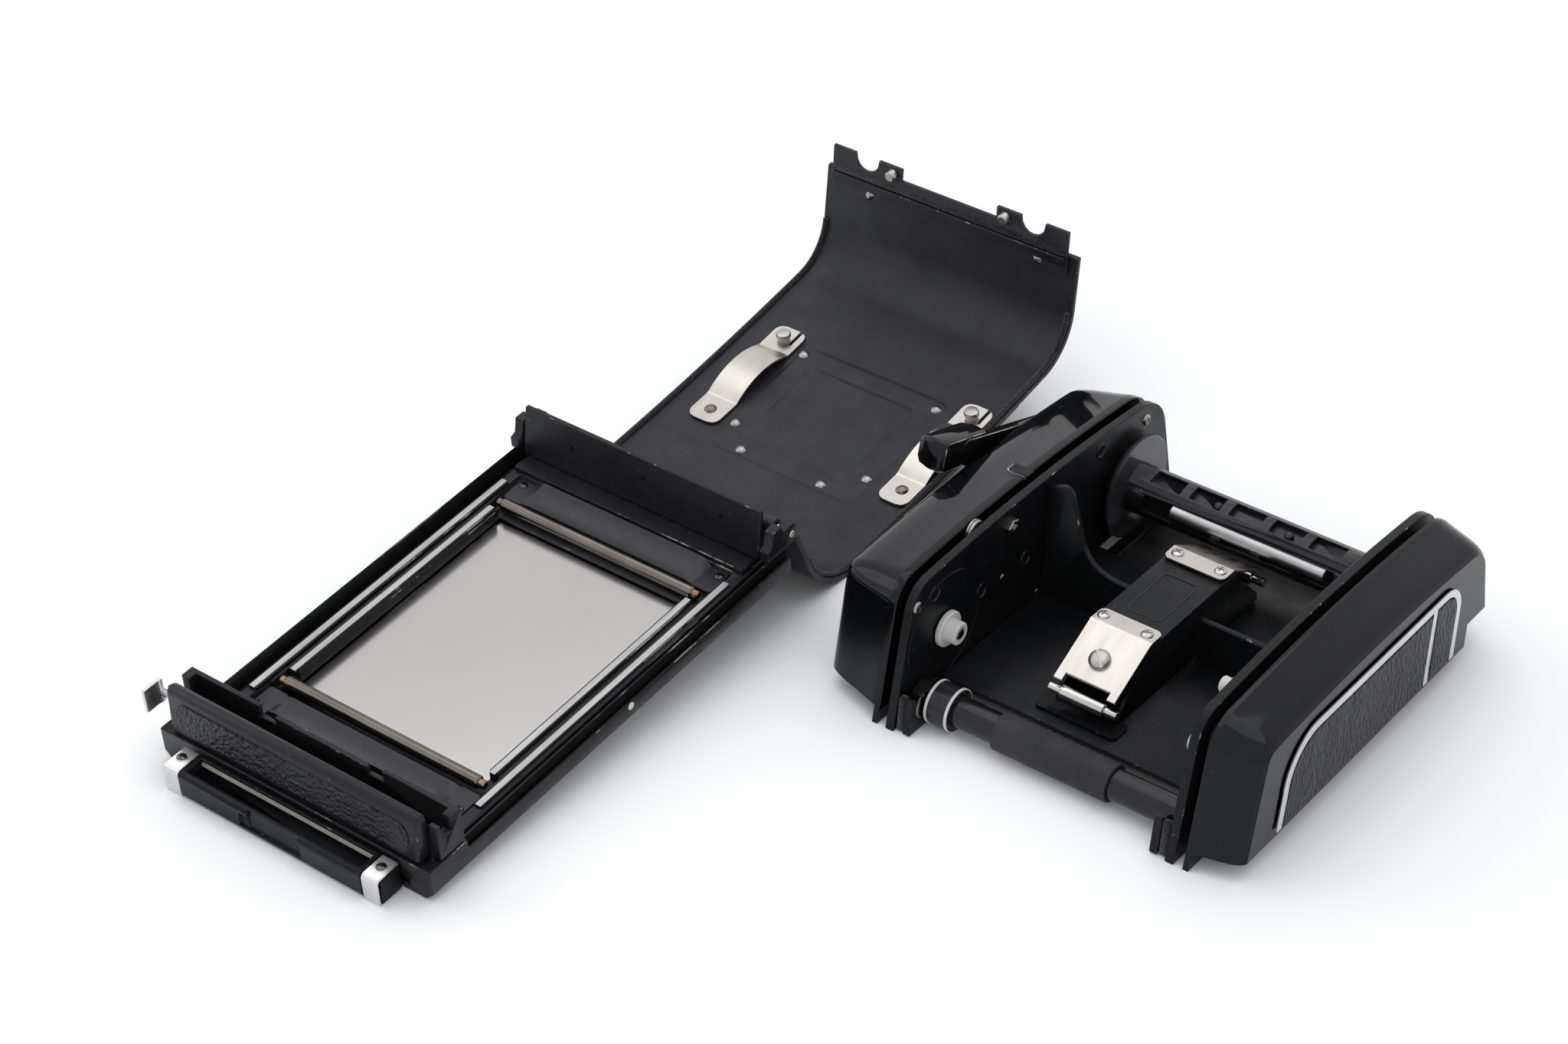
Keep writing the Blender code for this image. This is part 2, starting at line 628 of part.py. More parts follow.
def build_hinge():
    foot, sheet = LEDGE_TOP + FIT, 1.2 * MM
    low, high = (53.0 * MM, foot), (55.2 * MM, 13.6 * MM)
    outline = [low, (low[0] + sheet, foot), (high[0] + sheet, high[1]), high]
    outline_solid("hinge_wall", outline, -35.2 * MM, 35.2 * MM, X_AXIS, HOLDER, PAINT)
    root = RIM_TOP + FIT
    for name, side in (("hinge_bracket_left", -1), ("hinge_bracket_right", 1)):
        ear = arc((HINGE_Y, HINGE_Z), 2.5 * MM, -0.28 * HALF_TURN, 0.62 * HALF_TURN, 10)
        outline = [(52.5 * MM, root), (61.5 * MM, root)] + ear
        outline += [(58.8 * MM, 6.6 * MM), (58.0 * MM, 9.0 * MM), (55.0 * MM, 9.0 * MM)]
        outline += [(54.2 * MM, 5.2 * MM), (52.5 * MM, 4.6 * MM)]
        span = sorted((side * BRACKET_IN, side * BRACKET_OUT))
        bracket = outline_solid(name, outline, span[0], span[1], X_AXIS, HOLDER, PAINT)
        cut(bracket, rod(
            name + "_bore", PIN_RADIUS + 0.1 * MM, span[0] - MM, span[1] + MM,
            (HINGE_Y, HINGE_Z), HOLDER, segments=SMALL_ROUND))
    reach = BRACKET_OUT + 0.4 * MM
    turned("hinge_pin", [(PIN_RADIUS, reach), (PIN_RADIUS, -reach)], (0.0, HINGE_Y, HINGE_Z),
           HOLDER, STEEL, SMALL_ROUND)


def in_cover(outline):
    """Moves a closed-cover outline from the holder's frame to the hinge axis."""
    return [(y - HINGE_Y, z - HINGE_Z) for y, z in outline]


def cover_arch(inset):
    half = COVER_BASE_HALF + COVER_BASE_Z * math.tan(END_LEAN)
    ends = (COVER_LIP_Z, COVER_REAR_Z)
    found = arch((half, half), COVER_TOP, COVER_CORNERS, CROWN_RADIUS, (END_LEAN, END_LEAN), ends,
                 inset=inset)
    return [(y + COVER_MID_Y, z) for y, z in found]


def cover_band(outer, inner):
    """Outline of a sheet lying between two insets of the cover's arch."""
    return in_cover(cover_arch(outer) + list(reversed(cover_arch(inner))))


def build_cover_shell():
    outline_solid("cover_shell", cover_band(0.0, COVER_SHEET), -COVER_HALF, COVER_HALF, X_AXIS,
                  COVER, SHEET_BLACK)
    seal_out, seal_in = 38.5 * MM, 37.2 * MM
    under = COVER_SHEET + FIT
    for name, side in (("cover_felt_left", -1), ("cover_felt_right", 1)):
        span = sorted((side * seal_in, side * seal_out))
        band = cover_arch(under)[1:-1]
        inside = cover_arch(under + 0.8 * MM)[1:-1]
        outline_solid(name, in_cover(band + list(reversed(inside))), span[0], span[1], X_AXIS,
                      COVER, FELT)


def end_wall_point(z, inset):
    """y of the cover's lip end wall at height z, moved inwards."""
    lean = (z - COVER_BASE_Z) * math.tan(END_LEAN)
    return COVER_MID_Y - COVER_BASE_HALF + inset / math.cos(END_LEAN) + lean


def build_cover_hinge():
    """Hinge leaf inside the cover's rear wall, rolled into a long knuckle."""
    half = 34.4 * MM
    near = COVER_SHEET + FIT
    far = near + 0.9 * MM
    mid = 2 * COVER_MID_Y
    low, high = HINGE_Z + 0.6 * MM, 9.8 * MM
    strip = [(mid - end_wall_point(low, near), low), (mid - end_wall_point(high, near), high),
             (mid - end_wall_point(high, far), high), (mid - end_wall_point(low, far), low)]
    leaf = outline_solid("cover_hinge_leaf", in_cover(strip), -half, half, X_AXIS, COVER,
                         SHEET_BLACK)
    web_y = mid - end_wall_point(low, (near + far) / 2) - HINGE_Y
    fuse(leaf, box("knuckle_web", (-half, web_y, 0.8 * MM), (half, 0.0, 1.9 * MM), COVER))
    fuse(leaf, rod("knuckle", KNUCKLE_RADIUS, -half, half, (0.0, 0.0), COVER, None, SMALL_ROUND))
    cut(leaf, rod("knuckle_bore", PIN_RADIUS + FIT, -half - MM, half + MM, (0.0, 0.0), COVER, None,
                  SMALL_ROUND))


def build_lip():
    """Toothed lip that enters the slot behind the front wall, with its bar and catch pins."""
    near = COVER_SHEET + FIT
    far = near + 0.9 * MM
    low, high, upright = 0.2 * MM, 12.3 * MM, 0.6 * MM
    strip = [(end_wall_point(low, near) + upright, low), (end_wall_point(low, far) + upright, low),
             (end_wall_point(high, far), high), (end_wall_point(high, near), high)]
    half = 36.3 * MM
    lip = outline_solid("lip_plate", in_cover(strip), -half, half, X_AXIS, COVER, SHEET_BLACK)
    wall_y = end_wall_point(low, near) - HINGE_Y
    deep = 5.0 * MM

    def lip_cut(name, x_low, x_high, depth):
        cut(lip, box(name, (x_low, wall_y - deep, -20 * MM),
                     (x_high, wall_y + deep, low + depth - HINGE_Z), COVER))

    lip_cut("lip_middle", -14.6 * MM, 14.6 * MM, 3.2 * MM)
    notch_x, notch_r = 25.6 * MM, 3.6 * MM
    for side in (-1, 1):
        outline = arc((side * notch_x, low - HINGE_Z + 0.6 * MM), notch_r, 0.0, HALF_TURN, 8)
        outline += [(side * notch_x - notch_r, -20 * MM), (side * notch_x + notch_r, -20 * MM)]
        cut(lip, outline_solid("lip_notch", outline, wall_y - deep, wall_y + deep, Y_AXIS, COVER))
    pin_z = 2.3 * MM
    pin_y = end_wall_point(pin_z, (near + far) / 2) + 0.5 * MM
    for name, side in (("lip_pin_left", -1), ("lip_pin_right", 1)):
        place = Vector((side * LIP_PIN_X, pin_y - HINGE_Y, pin_z - HINGE_Z))
        profile = [(1.3 * MM, 0.7 * MM), (1.3 * MM, -2.2 * MM)]
        pin = turned(name, profile, place, COVER, STEEL, SMALL_ROUND)
        pin.rotation_euler = (HALF_TURN / 2, 0.0, 0.0)
        hole = arc((place.x, place.z), 1.3 * MM + FIT, 0.0, 2 * HALF_TURN, SMALL_ROUND)[:-1]
        cut(lip, outline_solid(
            name + "_hole", hole, wall_y - deep, wall_y + deep, Y_AXIS, COVER))
    bar_low, bar_high = 6.9 * MM, 9.1 * MM
    bar = [(end_wall_point(bar_low, far + FIT), bar_low),
           (end_wall_point(bar_low, far + 1.2 * MM), bar_low),
           (end_wall_point(bar_high, far + 1.2 * MM), bar_high),
           (end_wall_point(bar_high, far + FIT), bar_high)]
    outline_solid("lip_bar", in_cover(bar), -35.9 * MM, 35.9 * MM, X_AXIS, COVER, PAINT)


def build_cover_springs():
    """Bowed leaf springs that steady the insert, each riveted at one end, on a stud at the other."""
    under = COVER_TOP - COVER_SHEET - FIT
    pad = 4.5 * MM
    first, last = SPRING_RIVET_Y + pad, SPRING_STUD_Y - pad
    steps = 18
    top, bottom = [], []
    for i in range(steps + 1):
        y = first + (last - first) * i / steps
        run = min(max((SPRING_RIVET_Y - pad - y) / (SPRING_RIVET_Y - SPRING_STUD_Y - 2 * pad), 0), 1)
        rise = SPRING_RISE * math.sin(HALF_TURN * run) ** 2
        z = crown_z(y, under, CROWN_RADIUS - COVER_SHEET) - rise
        top.append((y + COVER_MID_Y, z))
        bottom.append((y + COVER_MID_Y, z - SPRING_SHEET))
    outline = in_cover(top + list(reversed(bottom)))
    for name, side in (("left", -1), ("right", 1)):
        middle = side * SPRING_X + SPRING_SHIFT
        spring = outline_solid("spool_spring_" + name, outline, middle - SPRING_WIDTH / 2,
                               middle + SPRING_WIDTH / 2, X_AXIS, COVER, NICKEL)
        stud_y = SPRING_STUD_Y + COVER_MID_Y - HINGE_Y
        hole = arc((middle, stud_y), 1.5 * MM + FIT, 0.0, 2 * HALF_TURN, SMALL_ROUND)[:-1]
        cut(spring, outline_solid(name + "_stud_hole", hole, 0.0, 60 * MM, Z_AXIS, COVER))
        seat = crown_z(SPRING_STUD_Y, under, CROWN_RADIUS - COVER_SHEET) - HINGE_Z
        head = seat - SPRING_SHEET - FIT
        profile = [(1.5 * MM, seat - 0.1 * MM), (1.5 * MM, head), (2.7 * MM, head - 0.1 * MM),
                   (2.7 * MM, head - 1.2 * MM), (2.0 * MM, head - 1.7 * MM)]
        stud = turned("spring_stud_" + name, profile, (middle, stud_y, 0.0), COVER, STEEL,
                      SMALL_ROUND)
        stud.rotation_euler = (0.0, 0.0, 0.0)


def build_memo_holder():
    """Curved clip frame riveted outside the cover, open at one side for a film box flap."""
    half, front, rear, sheet = 22.8 * MM, -20.5 * MM, 23.5 * MM, 0.8 * MM
    middle, edge = 2.8 * MM, 5.5 * MM
    steps = 8
    ys = [rear + (front - rear) * i / steps for i in range(steps + 1)]
    low = [(y + COVER_MID_Y, crown_z(y, COVER_TOP) + FIT) for y in ys]
    high = [(y, z + sheet) for y, z in reversed(low)]
    memo = outline_solid("memo_holder", in_cover(low + high), middle - half, middle + half, X_AXIS,
                         COVER, CHROME)
    y_low, y_high = front + COVER_MID_Y + edge, rear + COVER_MID_Y - edge
    cut(memo, box("memo_window", (middle - half + edge, y_low - HINGE_Y, 0.0),
                  (middle + half - edge, y_high - HINGE_Y, 60 * MM), COVER))


def insert_arch(base_z, inset=0.0):
    """The insert's back profile, cut off at base_z."""
    return arch(INSERT_ENDS, INSERT_TOP, INSERT_CORNERS, INSERT_CROWN, INSERT_LEANS,
                (base_z, base_z), INSERT_CROWN_Y, inset)


def build_side_plates():
    bores = ((SUPPLY_Y, SUPPLY_Z, 3.2 * MM), (TAKEUP_Y, TAKEUP_Z, 3.2 * MM),
             (METER_Y, METER_Z, 1.8 * MM), (GUIDE_Y, GUIDE_Z, 1.8 * MM))
    for name, side in (("left", -1), ("right", 1)):
        span = sorted((side * PLATE_IN, side * PLATE_OUT))
        plate = outline_solid("side_plate_" + name, insert_arch(0.0), span[0], span[1], X_AXIS,
                              INSERT, PAINT)
        felt_span = sorted((side * (PLATE_OUT + FIT), side * (CHEEK_IN - FIT)))
        felt = outline_solid("groove_felt_" + name, insert_arch(6.0 * MM, GROOVE_DEPTH),
                             felt_span[0], felt_span[1], X_AXIS, INSERT, FELT)
        cut(plate, box(name + "_foot_gap", (span[0] - MM, -45 * MM, -MM),
                       (span[1] + MM, 45 * MM, 3.2 * MM), INSERT))
        for number, (y, z, radius) in enumerate(bores):
            cut(plate, rod(f"{name}_bore_{number}", radius, span[0] - MM, span[1] + MM, (y, z),
                           INSERT, segments=SMALL_ROUND))
            if z > 10 * MM:
                cut(felt, rod(f"{name}_felt_bore_{number}", radius + FIT, felt_span[0] - MM,
                              felt_span[1] + MM, (y, z), INSERT, segments=SMALL_ROUND))
        if side < 0:
            cut(felt, rod("counter_pocket", 3.6 * MM, felt_span[0] - MM, felt_span[1] + MM,
                          (COUNTER_Y, COUNTER_Z - COUNTER_TRAVEL), INSERT, segments=SMALL_ROUND))


def cheek_rings(side, sections, base):
    return [[(side * x, y, z) for y, z in insert_arch(base, inset)] for x, inset in sections]


def build_cheeks():
    """Hollow housings outside the grooves, swept from the back profile to a smaller face."""
    for name, side, out in (("left", -1, LEFT_CHEEK_OUT), ("right", 1, RIGHT_CHEEK_OUT)):
        deep = out - CHEEK_IN
        steps = ((0.0, 0.0), (0.11, 0.0), (0.36, 1.4), (0.72, 3.2), (0.92, 4.8), (1.0, 6.8))
        sections = [(CHEEK_IN + deep * along, inset * MM) for along, inset in steps]
        hollow = [(CHEEK_IN - MM, 2.2 * MM), (CHEEK_IN + 0.36 * deep, 3.6 * MM),
                  (out - CHEEK_WALL, 7.0 * MM)]
        cheek = loft("cheek_" + name, cheek_rings(side, sections, CHEEK_BASE), INSERT, GLOSS)
        rim = sorted((side * (CHEEK_IN + 0.1 * MM), side * (CHEEK_IN + 1.5 * MM)))
        skirt = outline_solid(name + "_skirt", insert_arch(0.0, 0.15 * MM), rim[0], rim[1], X_AXIS,
                              INSERT)
        cut(skirt, box(name + "_skirt_gap", (rim[0] - MM, -51 * MM, -MM),
                       (rim[1] + MM, 51 * MM, CHEEK_BASE + MM), INSERT))
        fuse(cheek, skirt)
        cut(cheek, loft(name + "_cheek_hollow",
                        cheek_rings(side, hollow, CHEEK_BASE + CHEEK_WALL), INSERT))
        if side < 0:
            cut(cheek, rod("lever_bore", 3.2 * MM, -out - MM, -out + 6 * MM,
                           (TAKEUP_Y, TAKEUP_Z), INSERT, segments=SMALL_ROUND))
        else:
            cut(cheek, box("rear_relief", (43.0 * MM, 41.5 * MM, 0.0),
                           (60.0 * MM, 70.0 * MM, 11.0 * MM), INSERT))


def grip_outline(inset):
    """Arched grip panel on the right cheek, moved inwards by inset along its sides and top."""
    front, rear, top, base = -45.0 * MM + inset, 34.0 * MM - inset, 29.0 * MM - inset, 6.6 * MM
    big, small, lean = 13.0 * MM - inset, 8.0 * MM - inset, 1.2 * MM
    found = [(rear, base)]
    found += arc((rear - small, top - small), small, 0.0, HALF_TURN / 2, 6)
    found += arc((front + lean + big, top - big), big, HALF_TURN / 2, HALF_TURN, 8)
    found.append((front, base))
    return found


def build_grip():
    inner, outer = RIGHT_CHEEK_OUT + FIT, RIGHT_CHEEK_OUT + 0.9 * MM
    trim_width, divider_y, divider_half = 1.9 * MM, 20.8 * MM, 0.8 * MM
    around = grip_outline(0.0) + list(reversed(grip_outline(trim_width)))
    trim = outline_solid("grip_trim", around, inner, outer, X_AXIS, INSERT, CHROME)
    fuse(trim, box("trim_divider", (inner, divider_y - divider_half, 6.6 * MM),
                   (outer, divider_y + divider_half, 28.0 * MM), INSERT))
    panel = grip_outline(trim_width + FIT)
    high = 60 * MM
    for name, low_y, high_y in (("grip_leather_front", divider_y - divider_half - FIT, high),
                                ("grip_leather_rear", -high, divider_y + divider_half + FIT)):
        leather = outline_solid(name, panel, inner, outer + 0.1 * MM, X_AXIS, INSERT, LEATHER)
        cut(leather, box(name + "_trim_off", (inner - MM, low_y, 0.0), (outer + MM, high_y, high),
                         INSERT))


def build_floor():
    half = PLATE_IN - FIT
    low = FLOOR_TOP - FLOOR_SHEET
    flange_way, flange_front = 28.4 * MM, TAKEUP_Y - FLANGE_RADIUS
    outline = [(0.0, FLOOR_FRONT), (half, FLOOR_FRONT), (half, flange_front),
               (flange_way, flange_front), (flange_way, FLOOR_REAR), (0.0, FLOOR_REAR)]
    outline_solid("insert_floor", mirrored(outline), low, FLOOR_TOP, Z_AXIS, INSERT, SHEET_BLACK)
    plate = box("pressure_plate", (-31.0 * MM, -40.0 * MM, 2.0 * MM),
                (31.0 * MM, 40.0 * MM, 3.0 * MM), INSERT, PAINT)
    soften(plate, 0.3 * MM, 1)
    foot, top, sheet = FLOOR_TOP + FIT, 17.0 * MM, CROSS_WALL_SHEET / 2
    gap = BRIDGE_HALF + 0.6 * MM
    bank = (-25.6 * MM, 26.0 * MM)
    crest = arc((-31.0 * MM, 34.5 * MM), 2.6 * MM, 0.0, HALF_TURN / 2, 4)
    left = [(-half, foot), (FILM_X - gap, foot), (FILM_X - gap, top), (-14.0 * MM, top)]
    left += bend((-14.0 * MM, top), (-24.0 * MM, top), bank) + crest
    left += [(-half, 35.3 * MM)]
    right = [(half, foot), (half, top), (FILM_X + gap, top), (FILM_X + gap, foot)]
    for name, outline in (("cross_wall_left", left), ("cross_wall_right", right)):
        outline_solid(name, outline, CROSS_WALL_Y - sheet, CROSS_WALL_Y + sheet, Y_AXIS, INSERT,
                      SHEET_BLACK)


def leaf_outline(sheet, gap):
    """Front leaf spring in (y, z): screwed pad on the bridge, then a slope to its roller."""
    edge_y, edge_z = BRIDGE_FRONT, BRIDGE_TOP
    end_y, end_z = edge_y - LEAF_ROLLER_OUT, LEAF_ROLLER_Z + LEAF_ROLLER_RADIUS + 0.9 * MM
    slope = math.atan2(edge_z - end_z, edge_y - end_y)
    away = (-math.sin(slope), math.cos(slope))
    corner = (edge_y + away[0] * gap, edge_z + gap)
    outer = (edge_y + away[0] * (gap + sheet), edge_z + gap + sheet)
    tip = (end_y + away[0] * gap, end_z + away[1] * gap)
    tip_out = (end_y + away[0] * (gap + sheet), end_z + away[1] * (gap + sheet))
    pad = edge_y + 5.0 * MM
    return [(pad, edge_z + gap), (pad, edge_z + gap + sheet), outer, tip_out, tip, corner]


def flip_ends(outline):
    """Mirrors an outline about the middle of the bridge."""
    total = BRIDGE_FRONT + BRIDGE_REAR
    return [(total - y, z) for y, z in outline]


def build_bridge():
    """Pressed channel over the floor that carries the two spool leaf springs and their rollers."""
    foot, spread = FLOOR_TOP + FIT, 12.5 * MM
    outline = [(BRIDGE_FRONT, BRIDGE_TOP), (BRIDGE_REAR, BRIDGE_TOP),
               (BRIDGE_REAR + spread, foot + 2 * MM), (BRIDGE_REAR + spread, foot),
               (BRIDGE_FRONT - spread, foot), (BRIDGE_FRONT - spread, foot + 2 * MM)]
    bridge = outline_solid("bridge", outline, -BRIDGE_HALF, BRIDGE_HALF, X_AXIS, FILM,
                           SHEET_BLACK)
    wall = 1.1 * MM
    reach = 40 * MM
    cut(bridge, box("under_bridge", (-BRIDGE_HALF + wall, BRIDGE_FRONT - reach, foot + 1.3 * MM),
                    (BRIDGE_HALF - wall, BRIDGE_REAR + reach, BRIDGE_TOP - 1.2 * MM), FILM))
    front = leaf_outline(0.6 * MM, FIT)
    notch_half = 6.0 * MM
    half = BRIDGE_HALF - 0.2 * MM
    roller = [(1.1 * MM, 9.1 * MM), (1.1 * MM, 5.8 * MM), (LEAF_ROLLER_RADIUS, 5.6 * MM),
              (LEAF_ROLLER_RADIUS, -5.6 * MM), (1.1 * MM, -5.8 * MM), (1.1 * MM, -9.1 * MM)]
    axis_y = BRIDGE_FRONT - LEAF_ROLLER_OUT + 0.2 * MM
    ends = (("front", front, axis_y), ("rear", flip_ends(front), BRIDGE_FRONT + BRIDGE_REAR - axis_y))
    for name, leaf_profile, roller_y in ends:
        leaf = outline_solid("leaf_spring_" + name, leaf_profile, -half, half, X_AXIS, FILM,
                             NICKEL)
        cut(leaf, box(name + "_leaf_notch", (-notch_half, roller_y - 3 * MM, 0.0),
                      (notch_half, roller_y + 3 * MM, 16.0 * MM), FILM))
        turned("leaf_roller_" + name, roller, (0.0, roller_y, LEAF_ROLLER_Z), FILM, STEEL,
               SMALL_ROUND)


def tube_profile(inner, outer, low, high):
    return [(inner, high), (outer, high), (outer, low), (inner, low)]


def build_rollers():
    inside = PLATE_IN - FIT
    journal, end = 1.5 * MM, PLATE_OUT - 0.2 * MM
    for name, radius, y, z in (("metering_roller", METER_RADIUS, METER_Y, METER_Z),
                               ("guide_roller", GUIDE_RADIUS, GUIDE_Y, GUIDE_Z)):
        profile = [(journal, end), (journal, inside), (radius, inside), (radius, -inside),
                   (journal, -inside), (journal, -end)]
        turned(name, profile, (0.0, y, z), INSERT, PLASTIC)
    place = (0.0, METER_Y, METER_Z)
    bore = METER_RADIUS + 0.15 * MM
    turned("metering_sleeve", tube_profile(bore, 4.6 * MM, -13.3 * MM, 16.8 * MM), place, INSERT,
           RUBBER, closed=True)
    turned("metering_collar", tube_profile(bore, 5.2 * MM, -31.0 * MM, -24.6 * MM), place, INSERT,
           PLASTIC, closed=True)


def build_spool():
    """Take-up spool: two flanges on a hollow core with rows of moulded pockets between ribs."""
    flange = 1.5 * MM
    left, right = SPOOL_ENDS
    small = FLANGE_RADIUS - 0.9 * MM
    profile = [(SPOOL_BORE, right), (small, right), (small, right - flange),
               (SPOOL_CORE, right - flange), (SPOOL_CORE, left + flange),
               (FLANGE_RADIUS, left + flange), (FLANGE_RADIUS, left), (SPOOL_BORE, left)]
    axis = (0.0, TAKEUP_Y, TAKEUP_Z)
    spool = turned("takeup_spool", profile, axis, FILM, PLASTIC, closed=True)
    pitch, length, width, deep = 10.8 * MM, 8.2 * MM, 4.4 * MM, 1.8 * MM

    def build(work):
        for turn in (0.06, 0.46, 1.06, 1.46):
            swing = Matrix.Rotation(turn * HALF_TURN, 4, "X")
            for i in range(-2, 3):
                size = Matrix.Diagonal((length, width, 2 * deep, 1.0))
                where = Matrix.Translation((i * pitch, 0.0, SPOOL_CORE))
                bmesh.ops.create_cube(work, size=1.0, matrix=swing @ where @ size)

    pockets = place_object("spool_pockets", mesh_from("spool_pockets", build), FILM, None)
    pockets.location = axis
    cut(spool, pockets)


def build_studs():
    """Spindles that hold the spools: nylon and driven on the left, sprung on the right."""
    shaft = 2.9 * MM
    nylon = [(2.1 * MM, -31.4 * MM), (2.8 * MM, -31.9 * MM), (2.8 * MM, -33.6 * MM),
             (4.4 * MM, -33.6 * MM), (4.4 * MM, -35.5 * MM), (shaft, -35.5 * MM),
             (shaft, -42.0 * MM)]
    turned("supply_stud_left", nylon, (0.0, SUPPLY_Y, SUPPLY_Z), INSERT, NYLON, SMALL_ROUND)
    sprung = [(4.4 * MM, 45.6 * MM), (4.4 * MM, 42.6 * MM), (shaft, 42.6 * MM),
              (shaft, 28.0 * MM), (2.1 * MM, 27.0 * MM)]
    turned("supply_stud_right", sprung, (0.0, SUPPLY_Y, SUPPLY_Z), INSERT, NYLON, SMALL_ROUND)
    turned("takeup_stud", sprung, (0.0, TAKEUP_Y, TAKEUP_Z), INSERT, STEEL, SMALL_ROUND)
    drive = [(shaft, -29.0 * MM), (shaft, -44.5 * MM), (8.5 * MM, -44.5 * MM),
             (8.5 * MM, -48.0 * MM), (shaft, -48.0 * MM), (shaft, -LEFT_CHEEK_OUT - 0.2 * MM)]
    turned("drive_shaft", drive, (0.0, TAKEUP_Y, TAKEUP_Z), INSERT, STEEL, SMALL_ROUND)
    turned("counter_roller", [(3.0 * MM, -PLATE_OUT - 0.4 * MM), (3.0 * MM, -CHEEK_IN + 0.4 * MM)],
           (0.0, COUNTER_Y, COUNTER_Z), INSERT, CHROME, SMALL_ROUND)


def build_lever():
    """Wind lever: hub on the drive shaft, tapering arm and a thumb block at its end."""
    outer = LEVER_INNER - LEVER_SHEET
    hub, tip = 9.0 * MM, 3.2 * MM
    along = (math.cos(LEVER_ANGLE), math.sin(LEVER_ANGLE))
    across = (-along[1], along[0])
    taper = math.asin((hub - tip) / LEVER_REACH)
    open_from = LEVER_ANGLE + HALF_TURN / 2 - taper
    outline = arc((0.0, 0.0), hub, open_from, open_from + HALF_TURN + 2 * taper, 16)
    end = (along[0] * LEVER_REACH, along[1] * LEVER_REACH)
    outline += arc(end, tip, LEVER_ANGLE - HALF_TURN / 2 + taper,
                   LEVER_ANGLE + HALF_TURN / 2 - taper, 8)
    lever = outline_solid("wind_lever", outline, outer, LEVER_INNER, X_AXIS, INSERT, GLOSS)
    lever.location = (0.0, TAKEUP_Y, TAKEUP_Z)
    along = (math.cos(THUMB_TILT), math.sin(THUMB_TILT))
    across = (-along[1], along[0])
    sections = [(LEVER_INNER - MM, 8.6 * MM, 3.4 * MM), (outer - 2 * MM, 9.0 * MM, 3.6 * MM),
                (outer - 4.4 * MM, 8.4 * MM, 3.2 * MM), (outer - 5.4 * MM, 7.4 * MM, 2.4 * MM)]
    rings = []
    for x, length, height in sections:
        corners = [(length, height), (-length * 0.8, height), (-length, height * 0.5),
                   (-length, -height * 0.6), (-length * 0.8, -height), (length, -height)]
        rings.append([(x, end[0] - u * along[0] + v * across[0], end[1] - u * along[1] + v * across[1])
                      for u, v in corners])
    block = loft("thumb_block", rings, INSERT)
    block.location = lever.location
    fuse(lever, block)
    soften(lever, 0.5 * MM, 1, 30.0)


build_frame()
build_retainers()
build_gate_rollers()
build_front_wall()
build_slot_wall()
build_latch()
build_dark_slide()
build_hinge()
build_cover_shell()
build_cover_hinge()
build_lip()
build_cover_springs()
build_memo_holder()
build_side_plates()
build_cheeks()
build_grip()
build_floor()
build_bridge()
build_rollers()
build_spool()
build_studs()
build_lever()

for part in PARTS.objects:
    if part.type == "MESH":
        part.data.shade_smooth()
        part.data.set_sharp_from_angle(angle=math.radians(35.0))
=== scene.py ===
"""Looks of the roll film holder: finishes, fine edges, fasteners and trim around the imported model.

Shapes are drawn in millimetres in three frames: the holder with its rails at z = 0, the back
cover as if it were shut on the holder, and the insert on the table.
"""
import json
from math import asin, atan2, cos, dist, exp, hypot, pi, radians, sin, sqrt, tan

import bmesh
import bpy
from mathutils import Euler, Matrix, Vector


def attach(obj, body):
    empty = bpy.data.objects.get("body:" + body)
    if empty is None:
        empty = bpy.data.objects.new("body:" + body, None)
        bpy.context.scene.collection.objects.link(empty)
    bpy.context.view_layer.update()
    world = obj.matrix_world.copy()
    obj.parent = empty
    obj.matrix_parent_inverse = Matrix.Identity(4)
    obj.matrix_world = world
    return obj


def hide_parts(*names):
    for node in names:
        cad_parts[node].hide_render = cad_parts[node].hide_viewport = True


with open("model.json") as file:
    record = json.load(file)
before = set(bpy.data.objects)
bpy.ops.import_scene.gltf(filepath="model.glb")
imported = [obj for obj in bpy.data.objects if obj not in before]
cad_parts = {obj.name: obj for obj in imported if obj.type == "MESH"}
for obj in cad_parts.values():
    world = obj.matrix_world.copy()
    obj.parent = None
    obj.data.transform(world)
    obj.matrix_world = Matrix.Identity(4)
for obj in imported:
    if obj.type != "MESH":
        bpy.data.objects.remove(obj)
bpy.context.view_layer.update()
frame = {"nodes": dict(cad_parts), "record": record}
NODES = frame["nodes"]
BODY_OF = {n: body for body, ns in frame["record"]["behaviour"]["bodies"].items() for n in ns}
SLOT_OF = {s["node"]: s["material_slot"] for s in frame["record"]["subparts"]}

MM = 0.001
QUARTER = pi / 2
CORNER_STEPS, CROWN_STEPS = 14, 20
HINGE = (0.0, 61.4, 4.6)
HOLDER_AT = (Matrix.Translation((-0.06345, -0.05363, 0.01419))
             @ Matrix.Rotation(radians(6.1), 4, "X") @ Matrix.Scale(MM, 4))
COVER_AT = (HOLDER_AT @ Matrix.Translation(HINGE) @ Matrix.Rotation(radians(-176.2), 4, "X")
            @ Matrix.Translation([-c for c in HINGE]))
INSERT_AT = Matrix.Translation((0.05415, 0.04937, 0.0)) @ Matrix.Scale(MM, 4)
X_AXIS = Matrix(((0, 0, 1), (1, 0, 0), (0, 1, 0)))
Y_AXIS = Matrix(((1, 0, 0), (0, 0, -1), (0, 1, 0)))
Z_AXIS = Matrix.Identity(3)

